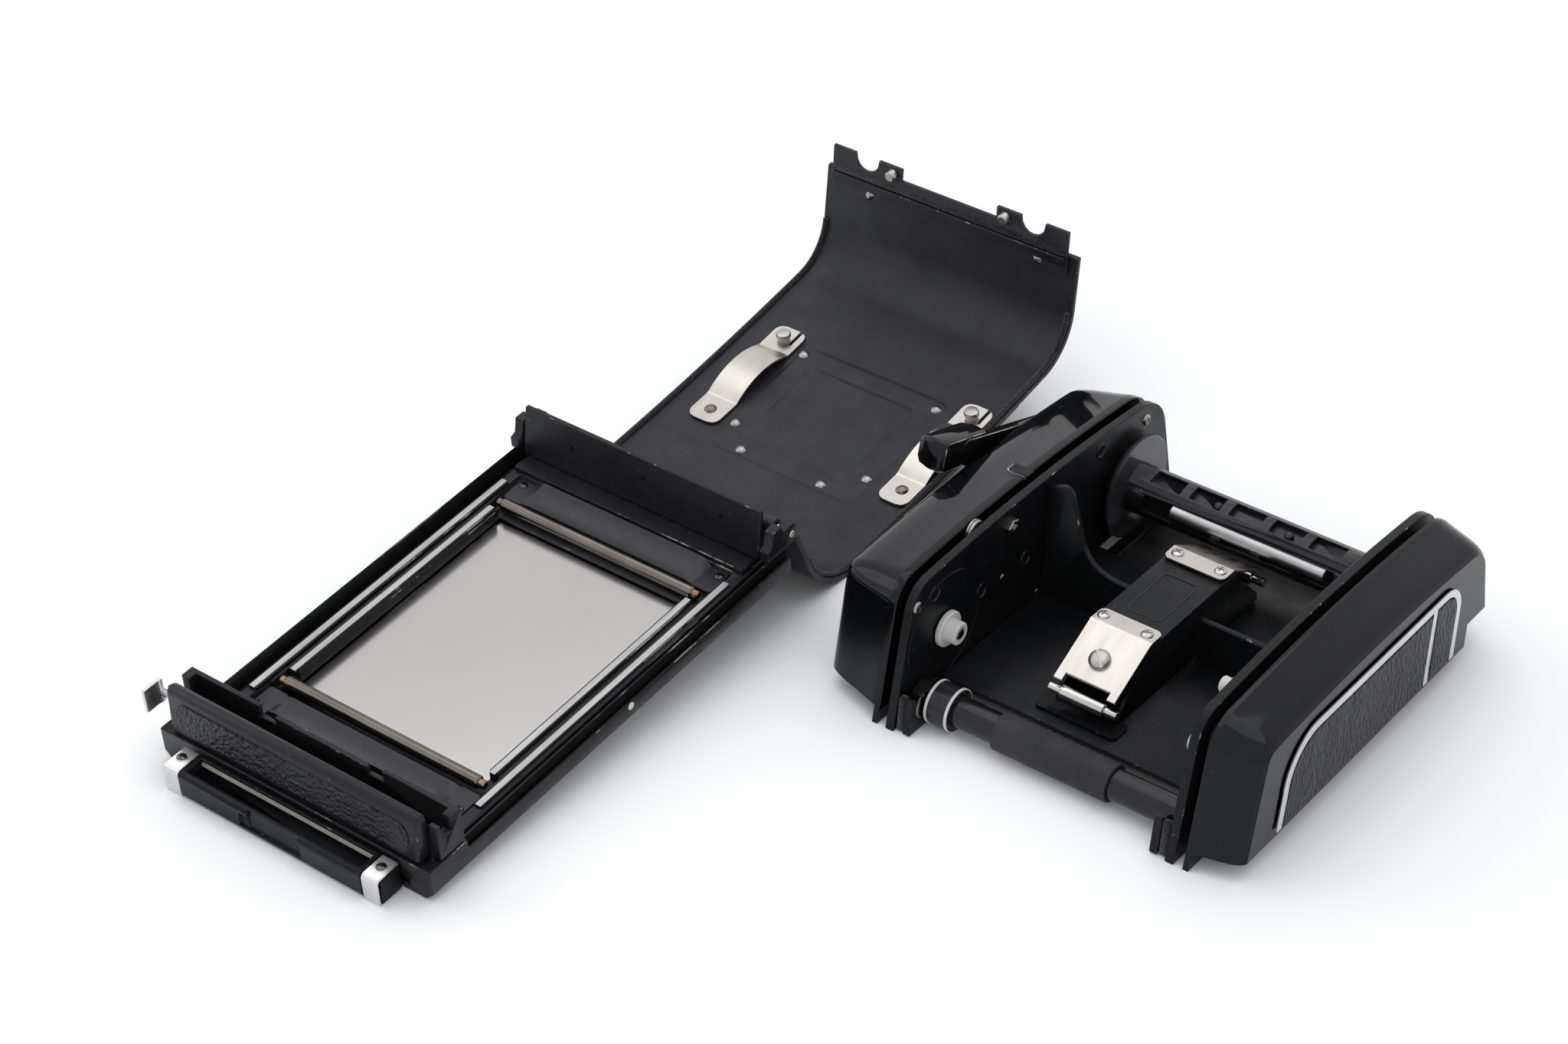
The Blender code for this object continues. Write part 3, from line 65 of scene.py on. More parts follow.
# Sizes shared with the solids, in millimetres
COVER_HALF, COVER_TOP, COVER_SHEET, COVER_MID = 38.9, 34.9, 1.4, 0.2
COVER_BASE, COVER_BASE_Z, COVER_LEAN = 60.75, 4.4, radians(14.5)
COVER_ENDS, COVER_CORNERS, COVER_CROWN = (7.5, 7.2), (15.3, 19.4), 960.0
INSERT_ENDS, INSERT_TOP, INSERT_CORNERS = (61.0, 57.4), 37.4, (8.0, 12.5)
INSERT_LEANS, INSERT_CROWN, INSERT_CROWN_Y = (radians(10.5), radians(14.5)), 520.0, -6.0
PLATE_IN, PLATE_OUT, CHEEK_IN, CHEEK_BASE = 35.8, 38.0, 40.2, 4.5
FILM_X = -1.8
SUPPLY, TAKEUP, METER, GUIDE = (-42.0, 18.3), (34.2, 16.8), (-51.5, 5.6), (52.0, 6.0)
COUNTER, GRIP_BASE = (-26.7, 34.6), 6.6
FIT = 0.3
ON_HOLDER = ("holder", "latch", "slide", "front_roller", "rear_roller")


# Finishes

def node(tree, kind, **inputs):
    """A shader node with its named inputs set."""
    made = tree.nodes.new("ShaderNode" + kind)
    for name, value in inputs.items():
        made.inputs[name.replace("_", " ")].default_value = value
    return made


def feed(tree, socket, value):
    """Links another node's output, or sets a plain value or a colour."""
    if isinstance(value, bpy.types.NodeSocket):
        tree.links.new(value, socket)
    else:
        socket.default_value = (*value, 1.0) if isinstance(value, tuple) else value


def math_node(tree, operation, first, second):
    made = node(tree, "Math")
    made.operation = operation
    feed(tree, made.inputs[0], first)
    feed(tree, made.inputs[1], second)
    return made.outputs[0]


def mix_colours(tree, factor, first, second):
    made = node(tree, "Mix")
    made.data_type = "RGBA"
    for i, value in ((0, factor), (6, first), (7, second)):
        feed(tree, made.inputs[i], value)
    return made.outputs[2]


def spread(tree, source, low, high, from_low=0.3, from_high=0.7):
    made = node(tree, "MapRange", From_Min=from_low, From_Max=from_high, To_Min=low, To_Max=high)
    tree.links.new(source, made.inputs["Value"])
    return made.outputs["Result"]


def noise(tree, where, scale, detail, roughness=0.55):
    made = node(tree, "TexNoise", Scale=scale, Detail=detail, Roughness=roughness)
    tree.links.new(where, made.inputs["Vector"])
    return made.outputs["Fac"]


COOL_GLINT, DUST = (0.88, 0.89, 1.0), (0.5, 0.5, 0.5)


def finish(name, colour, roughness, metallic=0.0, tone=0.2, smudge=0.25, cloud=70.0, grain=3200.0,
           relief=0.05, depth=0.00005, stretch=(1.0, 1.0, 1.0), worn=None, wear=0.5, specular=0.5,
           pebble=None, sheen=0.0, speck=0.0, chip=260.0):
    """A worked surface: clouded tone, uneven gloss, fine relief and, on its edges, bare wear."""
    made = bpy.data.materials.new(name)
    made.use_nodes = True
    tree = made.node_tree
    link = tree.links.new
    shader = tree.nodes["Principled BSDF"]
    for name, value in (("Specular IOR Level", specular), ("Metallic", metallic), ("Sheen Weight", sheen)):
        shader.inputs[name].default_value = value
    if not metallic:
        feed(tree, shader.inputs["Specular Tint"], COOL_GLINT)
    plain = node(tree, "TexCoord").outputs["Object"]
    laid = node(tree, "Mapping", Scale=stretch)
    link(plain, laid.inputs["Vector"])
    where = laid.outputs["Vector"]
    clouds = noise(tree, where, cloud, 5.0)
    darker = tuple(c * (1 - tone) for c in colour)
    lighter = tuple(c * (1 + tone) for c in colour)
    base = mix_colours(tree, spread(tree, clouds, 0.0, 1.0), darker, lighter)
    gloss = spread(tree, noise(tree, where, cloud * 2.3, 6.0), roughness * (1 - smudge),
                   min(roughness * (1 + smudge), 1.0))
    if speck:
        dust = spread(tree, noise(tree, plain, 1500.0, 1.0), 0.0, speck, 0.74, 0.8)
        base = mix_colours(tree, dust, base, DUST)
    if worn:
        edge = node(tree, "Attribute")
        edge.attribute_name = "worn"
        start = 0.62 - 0.24 * wear
        patchy = spread(tree, noise(tree, plain, chip, 8.0, 0.72), 0.0, 1.0, start, start + 0.1)
        bare = math_node(tree, "MULTIPLY", edge.outputs["Fac"], patchy)
        base = mix_colours(tree, bare, base, worn)
        link(bare, shader.inputs["Metallic"])
    link(base, shader.inputs["Base Color"])
    link(gloss, shader.inputs["Roughness"])
    fine = noise(tree, where, grain, 3.0)
    if pebble:
        cells = node(tree, "TexVoronoi", Scale=pebble)
        cells.feature = "SMOOTH_F1"
        cells.inputs["Smoothness"].default_value = 0.55
        wavy = node(tree, "TexNoise", Scale=pebble * 0.6, Detail=2.0)
        link(where, wavy.inputs["Vector"])
        bent = node(tree, "VectorMath")
        bent.operation = "MULTIPLY_ADD"
        link(wavy.outputs["Color"], bent.inputs[0])
        bent.inputs[1].default_value = (0.9 / pebble,) * 3
        link(where, bent.inputs[2])
        link(bent.outputs["Vector"], cells.inputs["Vector"])
        lumps = math_node(tree, "MULTIPLY", cells.outputs["Distance"], -1.6)
        fine = math_node(tree, "ADD", lumps, math_node(tree, "MULTIPLY", fine, 0.35))
    bump = node(tree, "Bump", Strength=relief, Distance=depth)
    link(fine, bump.inputs["Height"])
    link(bump.outputs["Normal"], shader.inputs["Normal"])
    return made


BARE, PAINT = (0.5, 0.49, 0.47), (0.0085, 0.0085, 0.0095)
satin_paint = finish(
    "satin_black_paint", PAINT, 0.36, specular=0.28, worn=BARE, wear=0.16, relief=0.12, speck=0.2)
frame_paint = finish(
    "frame_black_paint", PAINT, 0.36, specular=0.28, worn=BARE, wear=0.3, relief=0.12, speck=0.25, chip=45.0)
lever_paint = finish(
    "lever_black_enamel", (0.003, 0.003, 0.0035), 0.12, specular=0.3, worn=(0.3, 0.29, 0.27), wear=0.75,
    relief=0.03, grain=700.0, smudge=0.4)
gloss_paint = finish(
    "gloss_black_enamel", (0.0022, 0.0024, 0.003), 0.06, specular=0.27, worn=BARE, wear=0.12, relief=0.02,
    grain=500.0, smudge=0.45, speck=0.06)
charcoal_sheet = finish(
    "charcoal_cover_sheet", (0.017, 0.017, 0.0195), 0.46, specular=0.3, worn=BARE, wear=0.08, relief=0.15,
    speck=0.12)
insert_black = finish(
    "insert_black_paint", (0.0045, 0.0048, 0.0055), 0.36, specular=0.2, worn=BARE, wear=0.1, relief=0.12,
    speck=0.15)
dish_black = finish(
    "roller_tray_black", (0.012, 0.012, 0.0135), 0.28, specular=0.4, worn=BARE, wear=0.15, relief=0.08,
    speck=0.2)
moulded_black = finish(
    "moulded_black_plastic", (0.008, 0.008, 0.009), 0.26, specular=0.42, worn=(0.2, 0.2, 0.2), wear=0.2,
    relief=0.1, speck=0.15)
roller_gloss = finish(
    "polished_black_roller", (0.006, 0.006, 0.007), 0.2, specular=0.4, smudge=0.5, stretch=(1.0, 0.2, 0.2))
matt_rubber = finish("matt_black_rubber", (0.022, 0.022, 0.024), 0.6, specular=0.3, relief=0.2)
slide_steel = finish(
    "slide_stainless", (0.475, 0.462, 0.455), 0.19, 1.0, tone=0.012, smudge=0.06, cloud=24.0, relief=0.01)
dark_steel = finish("dark_roller_steel", (0.15, 0.135, 0.12), 0.16, 1.0, smudge=0.4, stretch=(1.0, 0.1, 0.1))
bright_steel = finish("turned_steel", (0.5, 0.49, 0.47), 0.22, 1.0, tone=0.12, smudge=0.35)
rivet_steel = finish("rivet_steel", (0.3, 0.29, 0.28), 0.24, 1.0, tone=0.15, smudge=0.3)
pin_steel = finish("pin_steel", (0.4, 0.39, 0.38), 0.36, 1.0, tone=0.1)
black_screw = finish("black_screw", (0.07, 0.07, 0.07), 0.24, 1.0, tone=0.15)
brushed_rod = finish("brushed_rod", (0.4, 0.4, 0.41), 0.36, 1.0, tone=0.25, smudge=0.3)
cream_edge = finish("cream_edge_strip", (0.3, 0.29, 0.24), 0.6, tone=0.15, cloud=300.0)
spring_nickel = finish(
    "nickel_spring", (0.53, 0.5, 0.475), 0.3, 1.0, tone=0.06, stretch=(3.0, 0.6, 1.0), grain=4000.0)
satin_chrome = finish(
    "satin_chrome", (0.66, 0.66, 0.67), 0.28, 1.0, tone=0.08, smudge=0.3, grain=5200.0, relief=0.06,
    stretch=(0.3, 1.0, 1.0))
bare_rail = finish(
    "bare_rail_metal", (0.4, 0.4, 0.4), 0.36, 1.0, tone=0.18, smudge=0.3, stretch=(6.0, 0.3, 1.0),
    cloud=160.0)
leatherette = finish(
    "black_leatherette", (0.017, 0.017, 0.019), 0.42, specular=0.4, pebble=1050.0, relief=1.0, depth=0.0006)
grip_leatherette = finish(
    "grip_leatherette", (0.012, 0.012, 0.0135), 0.38, pebble=900.0, relief=1.0, depth=0.0016,
    stretch=(1.0, 1.7, 0.5))
black_felt = finish(
    "black_felt", (0.017, 0.017, 0.018), 0.95, tone=0.85, grain=2200.0, relief=1.0, depth=0.0005,
    specular=0.1, sheen=0.25, cloud=1300.0)
white_nylon = finish("white_nylon", (0.56, 0.56, 0.54), 0.42, tone=0.05)
smoky_flange = finish("smoky_flange", (0.03, 0.03, 0.033), 0.14, tone=0.3)
copper_tip = finish("copper_tip", (0.26, 0.17, 0.12), 0.3, 1.0)
# Painted shade: a flat black for holes, the wall seam grooves and the gap under the take-up spool
painted_shade_black = finish("hole_shadow", (0.003, 0.003, 0.003), 0.8, specular=0.1)


# Shaping

def arc(centre, radius, start, end, count):
    turns = [start + (end - start) * i / count for i in range(count + 1)]
    return [(centre[0] + radius * cos(t), centre[1] + radius * sin(t)) for t in turns]


def corner_arc(half, crown_centre, big, radius, lean):
    """Round corner between a leaning wall and the crown, and the angle at which it meets the crown."""
    slope = tan(lean)
    crown_y, crown_z = crown_centre
    run = half - radius / cos(lean) - crown_y
    a = 1 + slope * slope
    b = -2 * (run * slope + crown_z)
    c = run * run + crown_z * crown_z - (big - radius) ** 2
    z = (-b + sqrt(b * b - 4 * a * c)) / (2 * a)
    y = run + crown_y - z * slope
    meet = atan2(z - crown_z, y - crown_y)
    return arc((y, z), radius, lean, meet, CORNER_STEPS), meet


def arch(halves, top, corners, crown, leans, ends, crown_y=0.0, inset=0.0):
    """Back profile from rear end over the crown to front end, moved inwards by inset."""
    big = crown - inset
    centre_z = top - crown
    sides, meets = [], []
    for half, radius, lean, end, way in zip(halves, corners, leans, ends, (-1, 1)):
        half -= inset / cos(lean)
        turn, meet = corner_arc(half, (way * crown_y, centre_z), big, radius - inset, lean)
        wall = (half - end * tan(lean), end)
        sides.append([(way * y, z) for y, z in [wall] + turn])
        meets.append(meet)
    front, rear = sides
    over = arc((crown_y, centre_z), big, meets[1], pi - meets[0], CROWN_STEPS)[1:-1]
    return rear + over + list(reversed(front))


def insert_arch(base, inset=0.0):
    return arch(INSERT_ENDS, INSERT_TOP, INSERT_CORNERS, INSERT_CROWN, INSERT_LEANS, (base, base),
                INSERT_CROWN_Y, inset)


def cover_arch(inset):
    half = COVER_BASE + COVER_BASE_Z * tan(COVER_LEAN)
    found = arch((half, half), COVER_TOP, COVER_CORNERS, COVER_CROWN, (COVER_LEAN, COVER_LEAN),
                 COVER_ENDS, inset=inset)
    return [(y + COVER_MID, z) for y, z in found]


def rounded_box(low, high, radius, count=6):
    """Outline of a rectangle with round corners."""
    left, right, base, top = low[0] + radius, high[0] - radius, low[1] + radius, high[1] - radius
    found = []
    for i, middle in enumerate(((right, top), (left, top), (left, base), (right, base))):
        found += arc(middle, radius, i * QUARTER, (i + 1) * QUARTER, count)
    return found


def circle(centre, radius, count=28):
    return arc(centre, radius, 0.0, 2 * pi, count)[:-1]


def placed(name, data):
    """A new object in the scene."""
    made = bpy.data.objects.new(name, data)
    bpy.context.scene.collection.objects.link(made)
    return made


def final_mesh(made):
    """An object's mesh with its modifiers applied."""
    graph = bpy.context.evaluated_depsgraph_get()
    return bpy.data.meshes.new_from_object(made.evaluated_get(graph))


def working_copy(made):
    mesh = final_mesh(made)
    work = bmesh.new()
    work.from_mesh(mesh)
    bpy.data.meshes.remove(mesh)
    return work


def face_outwards(work):
    bmesh.ops.recalc_face_normals(work, faces=work.faces)
    if work.calc_volume(signed=True) < 0:
        bmesh.ops.reverse_faces(work, faces=work.faces)


def plate(outline, low, high, axis, holes=()):
    """A flat outline with holes, given thickness from low to high along the axis."""
    curve = bpy.data.curves.new("outline", "CURVE")
    curve.dimensions = "2D"
    curve.fill_mode = "BOTH"
    curve.extrude = (high - low) / 2
    for loop in (outline, *holes):
        spline = curve.splines.new("POLY")
        spline.points.add(len(loop) - 1)
        for point, (u, v) in zip(spline.points, loop):
            point.co = (u, v, 0.0, 1.0)
        spline.use_cyclic_u = True
    guide = placed("outline", curve)
    work = working_copy(guide)
    bpy.data.objects.remove(guide)
    bpy.data.curves.remove(curve)
    bmesh.ops.remove_doubles(work, verts=work.verts, dist=1e-3)
    bmesh.ops.dissolve_limit(work, angle_limit=0.002, verts=work.verts, edges=work.edges)
    middle = axis @ Vector((0.0, 0.0, (low + high) / 2))
    if axis is Y_AXIS:
        middle = -middle  # this axis turns the outline's face to the front
    work.transform(Matrix.Translation(middle) @ axis.to_4x4())
    face_outwards(work)
    return work


def lathe(profile, centre, steps=40, axis="X"):
    """A turned piece; profile is (radius, along), closed on the axis or on itself."""
    work = bmesh.new()
    rings = []
    for radius, along in profile:
        if radius < 1e-6:
            rings.append([work.verts.new((along, 0.0, 0.0))])
            continue
        rings.append([work.verts.new((along, radius * cos(t), radius * sin(t)))
                      for t in (2 * pi * i / steps for i in range(steps))])
    pairs = list(zip(rings, rings[1:]))
    if profile[0][0] > 1e-6:
        pairs.append((rings[-1], rings[0]))
    for one, two in pairs:
        for i in range(steps):
            j = (i + 1) % steps
            corners = [one[i % len(one)], one[j % len(one)], two[j % len(two)], two[i % len(two)]]
            work.faces.new(list(dict.fromkeys(corners)))
    face_outwards(work)
    turns = {"X": Matrix.Identity(4), "Y": Matrix.Rotation(QUARTER, 4, "Z"),
             "Z": Matrix.Rotation(-QUARTER, 4, "Y")}
    work.transform(Matrix.Translation(centre) @ turns[axis])
    return work


def skin(rings):
    """A closed skin through rings of equal point counts."""
    work = bmesh.new()
    rows = [[work.verts.new(p) for p in ring] for ring in rings]
    for row, following in zip(rows, rows[1:]):
        for i in range(len(row)):
            j = (i + 1) % len(row)
            work.faces.new((row[i], row[j], following[j], following[i]))
    work.faces.new(rows[0])
    work.faces.new(rows[-1])
    face_outwards(work)
    return work


def pad(low, high, radius, base, top, holes=()):
    """A flat round-cornered plate that faces up."""
    return plate(rounded_box(low, high, radius), base, top, Z_AXIS, holes)


def rod(radius, low, high, at, steps=28):
    """A plain round bar along x."""
    return lathe([(0, low), (radius, low), (radius, high), (0, high)], (0.0, *at), steps)


def mirrored(half):
    """A turned profile with both ends alike, from the half that starts on the axis."""
    return half + [(r, -x) for r, x in reversed(half)]


def across(side, near, far):
    """Lowest and highest of a span on one side of the middle."""
    return sorted((side * near, side * far))


def block(low, high):
    work = bmesh.new()
    size = Vector(high) - Vector(low)
    where = Matrix.Translation((Vector(low) + Vector(high)) / 2) @ Matrix.Diagonal((*size, 1.0))
    bmesh.ops.create_cube(work, size=1.0, matrix=where)
    return work


def as_object(work, name="working"):
    mesh = bpy.data.meshes.new(name)
    work.to_mesh(mesh)
    work.free()
    return placed(name, mesh)


def carve(work, tool, operation="DIFFERENCE"):
    """Cuts one shape from another, or joins them, and returns the result."""
    target, other = as_object(work), as_object(tool)
    step = target.modifiers.new("carve", "BOOLEAN")
    step.operation = operation
    step.solver = "EXACT"
    step.object = other
    made = working_copy(target)
    for spent in (target, other):
        old = spent.data
        bpy.data.objects.remove(spent)
        bpy.data.meshes.remove(old)
    bmesh.ops.remove_doubles(made, verts=made.verts, dist=1e-4)
    return made


def break_edges(work, edge, least=32.0, shortest=3.2):
    """Small chamfers on the outer edges that are long enough; the new faces are marked as worn."""
    if not edge:
        return
    worn = work.faces.layers.float.get("worn") or work.faces.layers.float.new("worn")
    work.normal_update()
    sharp = [e for e in work.edges if len(e.link_faces) == 2 and e.calc_length() > shortest * edge
             and e.is_convex and e.calc_face_angle(0.0) > radians(least)]
    made = bmesh.ops.bevel(work, geom=sharp, offset=edge, offset_type="OFFSET", segments=1, profile=0.5,
                           affect="EDGES", clamp_overlap=False)
    for face in made["faces"]:
        face[worn] = 1.0
    bmesh.ops.dissolve_degenerate(work, dist=edge * 0.01, edges=work.edges)


def place_of(body):
    """The frame that a body's pieces are drawn in."""
    if body == "back_cover":
        return COVER_AT
    return HOLDER_AT if body in ON_HOLDER else INSERT_AT


def smooth(made, sharp):
    made.data.shade_smooth()
    made.data.set_sharp_from_angle(angle=radians(sharp))
    return made


def piece(name, work, look, body, slot, nodes=(), sharp=30.0):
    """A finished piece that rides on a body, stands for nodes and takes the given finish; the slot is not
    used.
    """
    made = smooth(as_object(work, name), sharp)
    made.data.materials.append(look)
    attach(made, body)
    if nodes:
        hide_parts(*nodes)


def dressed(name, look, edge, cuts=()):
    """A node's own shape, cut further where asked, with its edges broken and a worked finish."""
    work = bmesh.new()
    work.from_mesh(NODES[name].data)
    bmesh.ops.remove_doubles(work, verts=work.verts, dist=1e-6)
    if cuts:
        place = place_of(BODY_OF[name])
        work.transform(place.inverted())
        for tool in cuts:
            work = carve(work, tool)
        work.transform(place)
    break_edges(work, edge * MM)
    piece(name + "_finished", work, look, BODY_OF[name], SLOT_OF[name], (name,))


def made_for(name, work, look, edge=0.0, sharp=30.0):
    """A finer shape in place of one node."""
    break_edges(work, edge)
    work.transform(place_of(BODY_OF[name]))
    piece(name + "_finished", work, look, BODY_OF[name], SLOT_OF[name], (name,), sharp)


def turned(name, profile, at, look, steps=40):
    """A finer turned shape in place of one node of the insert."""
    made_for(name, lathe(profile, (0.0, *at), steps), look)


def detail(name, work, look, slot, body="insert", edge=0.0, sharp=30.0):
    """A small piece that stands for no node."""
    break_edges(work, edge)
    work.transform(place_of(body))
    piece(name, work, look, body, slot, sharp=sharp)


# Fasteners, set on points by one node tree

def fastener_tree():
    """Sets a head on every point, turned by the point's own attribute."""
    tree = bpy.data.node_groups.new("fasteners", "GeometryNodeTree")
    for name, way, kind in (("Geometry", "INPUT", "Geometry"), ("Head", "INPUT", "Object"),
                            ("Radius", "INPUT", "Float"), ("Finish", "INPUT", "Material"),
                            ("Geometry", "OUTPUT", "Geometry")):
        tree.interface.new_socket(name, in_out=way, socket_type="NodeSocket" + kind)
    given, shown, points, head, turn, facing, setting, solid, paint = (tree.nodes.new(kind) for kind in (
        "NodeGroupInput", "NodeGroupOutput", "GeometryNodeMeshToPoints", "GeometryNodeObjectInfo",
        "GeometryNodeInputNamedAttribute", "FunctionNodeEulerToRotation", "GeometryNodeInstanceOnPoints",
        "GeometryNodeRealizeInstances", "GeometryNodeSetMaterial"))
    turn.data_type = "FLOAT_VECTOR"
    turn.inputs["Name"].default_value = "turn"
    for start, out, end, into in (
            (given, "Geometry", points, "Mesh"), (given, "Head", head, "Object"),
            (turn, "Attribute", facing, "Euler"), (points, "Points", setting, "Points"),
            (head, "Geometry", setting, "Instance"), (facing, "Rotation", setting, "Rotation"),
            (given, "Radius", setting, "Scale"), (setting, "Instances", solid, "Geometry"),
            (solid, "Geometry", paint, "Geometry"), (given, "Finish", paint, "Material"),
            (paint, "Geometry", shown, "Geometry")):
        tree.links.new(start.outputs[out], end.inputs[into])
    return tree


PAN = [(0.0, 0.42), (0.5, 0.4), (0.8, 0.3), (0.95, 0.14), (1.0, 0.0), (1.0, -0.4), (0.0, -0.4)]
HEAD_PROFILES = {
    "dome": ([(0.0, 0.52), (0.38, 0.47), (0.68, 0.33), (0.9, 0.14), (1.0, -0.02), (1.0, -0.3),
              (0.0, -0.3)], 24),
    "cross": (PAN, 28),
    "slot": (PAN, 28),
    "nut": ([(0.0, 0.75), (0.42, 0.75), (0.42, 0.5), (0.86, 0.5), (1.0, 0.4), (1.0, -0.3), (0.0, -0.3)], 6),
    "ring": ([(0.72, 0.0), (0.8, 0.1), (0.95, 0.1), (1.0, -0.1), (0.7, -0.1)], 28),
    "hole": ([(0.0, 0.03), (0.96, 0.03), (1.0, -0.1), (0.0, -0.1)], 24)}
HEAD_CUTS = {"cross": [((-0.62, -0.13, 0.1), (0.62, 0.13, 1.0)), ((-0.13, -0.62, 0.1), (0.13, 0.62, 1.0))],
             "slot": [((-1.2, -0.12, 0.16), (1.2, 0.12, 1.0))]}


def head_of(kind):
    """A fastener's head of radius 1 that faces up."""
    profile, steps = HEAD_PROFILES[kind]
    work = lathe(profile, (0, 0, 0), steps, "Z")
    for low, high in HEAD_CUTS.get(kind, ()):
        work = carve(work, block(low, high))
    return smooth(as_object(work, "head_" + kind), 35.0)


FASTENERS = fastener_tree()
HEADS = {kind: head_of(kind) for kind in HEAD_PROFILES}


def fasten(name, kind, radius, points, way, look, body, spins=()):
    """Heads of one kind that face one way, each turned about that way by its spin."""
    place = place_of(body)
    mesh = bpy.data.meshes.new(name)
    mesh.from_pydata([place @ Vector(p) for p in points], [], [])
    turns = mesh.attributes.new("turn", "FLOAT_VECTOR", "POINT")
    out = (place.to_3x3().normalized() @ Vector(way)).normalized()
    for i in range(len(points)):
        spin = Euler((0.0, 0.0, spins[i] if spins else 0.0)).to_quaternion()
        turns.data[i].vector = (out.to_track_quat("Z", "Y") @ spin).to_euler()
    made = placed(name, mesh)
    step = made.modifiers.new("fasteners", "NODES")
    step.node_group = FASTENERS
    given = {"Head": HEADS[kind], "Radius": radius * MM, "Finish": look}
    for item in FASTENERS.interface.items_tree:
        if item.in_out == "INPUT" and item.name in given:
            step[item.identifier] = given[item.name]
    plain = final_mesh(made)
    made.modifiers.remove(step)
    made.data = plain
    bpy.data.meshes.remove(mesh)
    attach(made, body)


UP, DOWN, RIGHT = (0, 0, 1), (0, 0, -1), (1, 0, 0)
SIDES = (("left", -1), ("right", 1))


# Holder

def dress_retainers():
    """Curved tray behind each gate roller, with a screwed tongue at either end."""
    low, high, reach, fade, count, steps = -2.3, -1.5, 26.5, 2.2, 40, 8
    near, belly, far = (40.1, -1.2), (43.5, -1.4), (47.4, 0.5)
    for name, side in (("front_retainer", -1), ("rear_retainer", 1)):
        rings = []
        for i in range(count + 1):
            x = reach * (2 * i / count - 1)
            drop = step_up((abs(x) - reach + fade) / fade)
            upper = []
            for t in (k / steps for k in range(steps + 1)):
                y, z = ((1 - t) ** 2 * a + 2 * t * (1 - t) * b + t * t * c
                        for a, b, c in zip(near, belly, far))
                upper.append((x, side * y, z + (low + 0.4 - z) * drop))
            rings.append(upper + [(x, y, low + 0.1) for x, y, z in reversed(upper)])
        work = skin(rings)
        for way in (-1, 1):
            ends, span = across(way, 25.4, 31.2), across(side, 39.8, 47.6)
            tongue = pad((ends[0], span[0]), (ends[1], span[1]), 1.0, low, high)
            work = carve(work, tongue, "UNION")
        made_for(name, work, dish_black, 0.08)


def wall_seams():
    """Cutters for the seam along each side wall: a ledge outside the lip and a groove beside it."""
    lip, ledge, groove, deep, front, rear = 38.25, -0.9, 38.95, -2.4, -53.5, 61.0
    for side in (-1, 1):
        for outer, foot, head in ((41.0, ledge, 3.0), (groove, deep, ledge + 0.4)):
            span = across(side, lip, outer)
            yield block((span[0], front, foot), (span[1], rear, head))


def dress_gate_rollers():
    roller = mirrored([(0, 28.6), (1.3, 28.6), (1.6, 28.2)])
    tip = [(0, 30.2), (0.85, 30.2), (1.1, 29.9), (1.1, 28.4), (0, 28.4)]
    for end, y in (("front", -37.3), ("rear", 37.3)):
        name, at = end + "_gate_roller", (0.0, y, -1.0)
        made_for(name, lathe(roller, at), dark_steel)
        for label, profile in (("right", tip), ("left", [(r, -x) for r, x in reversed(tip)])):
            look = dark_steel if (end, label) == ("rear", "left") else copper_tip
            detail(name + "_tip_" + label, lathe(profile, at), look, "dark_steel", end + "_roller")


def dress_holder():
    dressed("main_frame", frame_paint, 0.2, list(wall_seams()))
    wide = 0.75
    for row, x, half in (("inner_", 29.5, 34.3), ("outer_", 33.4, 43.5)):
        for label, side in SIDES:
            land = block((side * x - wide, -half, -0.4), (side * x + wide, half, 0.05))
            detail("rail_land_" + row + label, land, bare_rail, "polished_steel", "holder", 0.04)
    dressed("front_wall", satin_paint, 0.2)
    for name in ("slot_wall", "hinge_wall", "hinge_bracket_left", "hinge_bracket_right"):
        dressed(name, satin_paint, 0.16)
    dressed("cover_latch", satin_chrome, 0.12)
    dress_retainers()
    neck, side, front, shoulder, rear = 26.0, 32.7, -69.2, -64.0, 40.8
    half = [(neck, front), (neck, shoulder - 2.0), (side, shoulder), (side, rear)]
    sheet = half + [(-x, y) for x, y in reversed(half)]
    made_for("dark_slide", plate(sheet, -5.1, -4.1, Z_AXIS), slide_steel, 0.08)
    notch = block((-6.2, -75.0, -4.7), (8.5, -72.9, 2.0))
    dressed("slide_handle", insert_black, 0.15, [notch])
    for name in ("slide_cap_left", "slide_cap_right"):
        dressed(name, satin_chrome, 0.12)
    pin = mirrored([(0, 39.2), (0.75, 39.2), (0.9, 39.0)])
    made_for("hinge_pin", lathe(pin, HINGE), bright_steel)
    dress_gate_rollers()
    low, high, half, wall_y, wall_foot, lean = 3.6, 11.6, 34.0, -65.3, 1.8, 0.7 / 10.7
    strip = plate(rounded_box((-half, low), (half, high), 3.4, 8), 0.0, 0.75, Y_AXIS)
    for vert in strip.verts:
        vert.co.y += wall_y - FIT + (vert.co.z - wall_foot) * lean
    made_for("front_leather", strip, leatherette, 0.22)


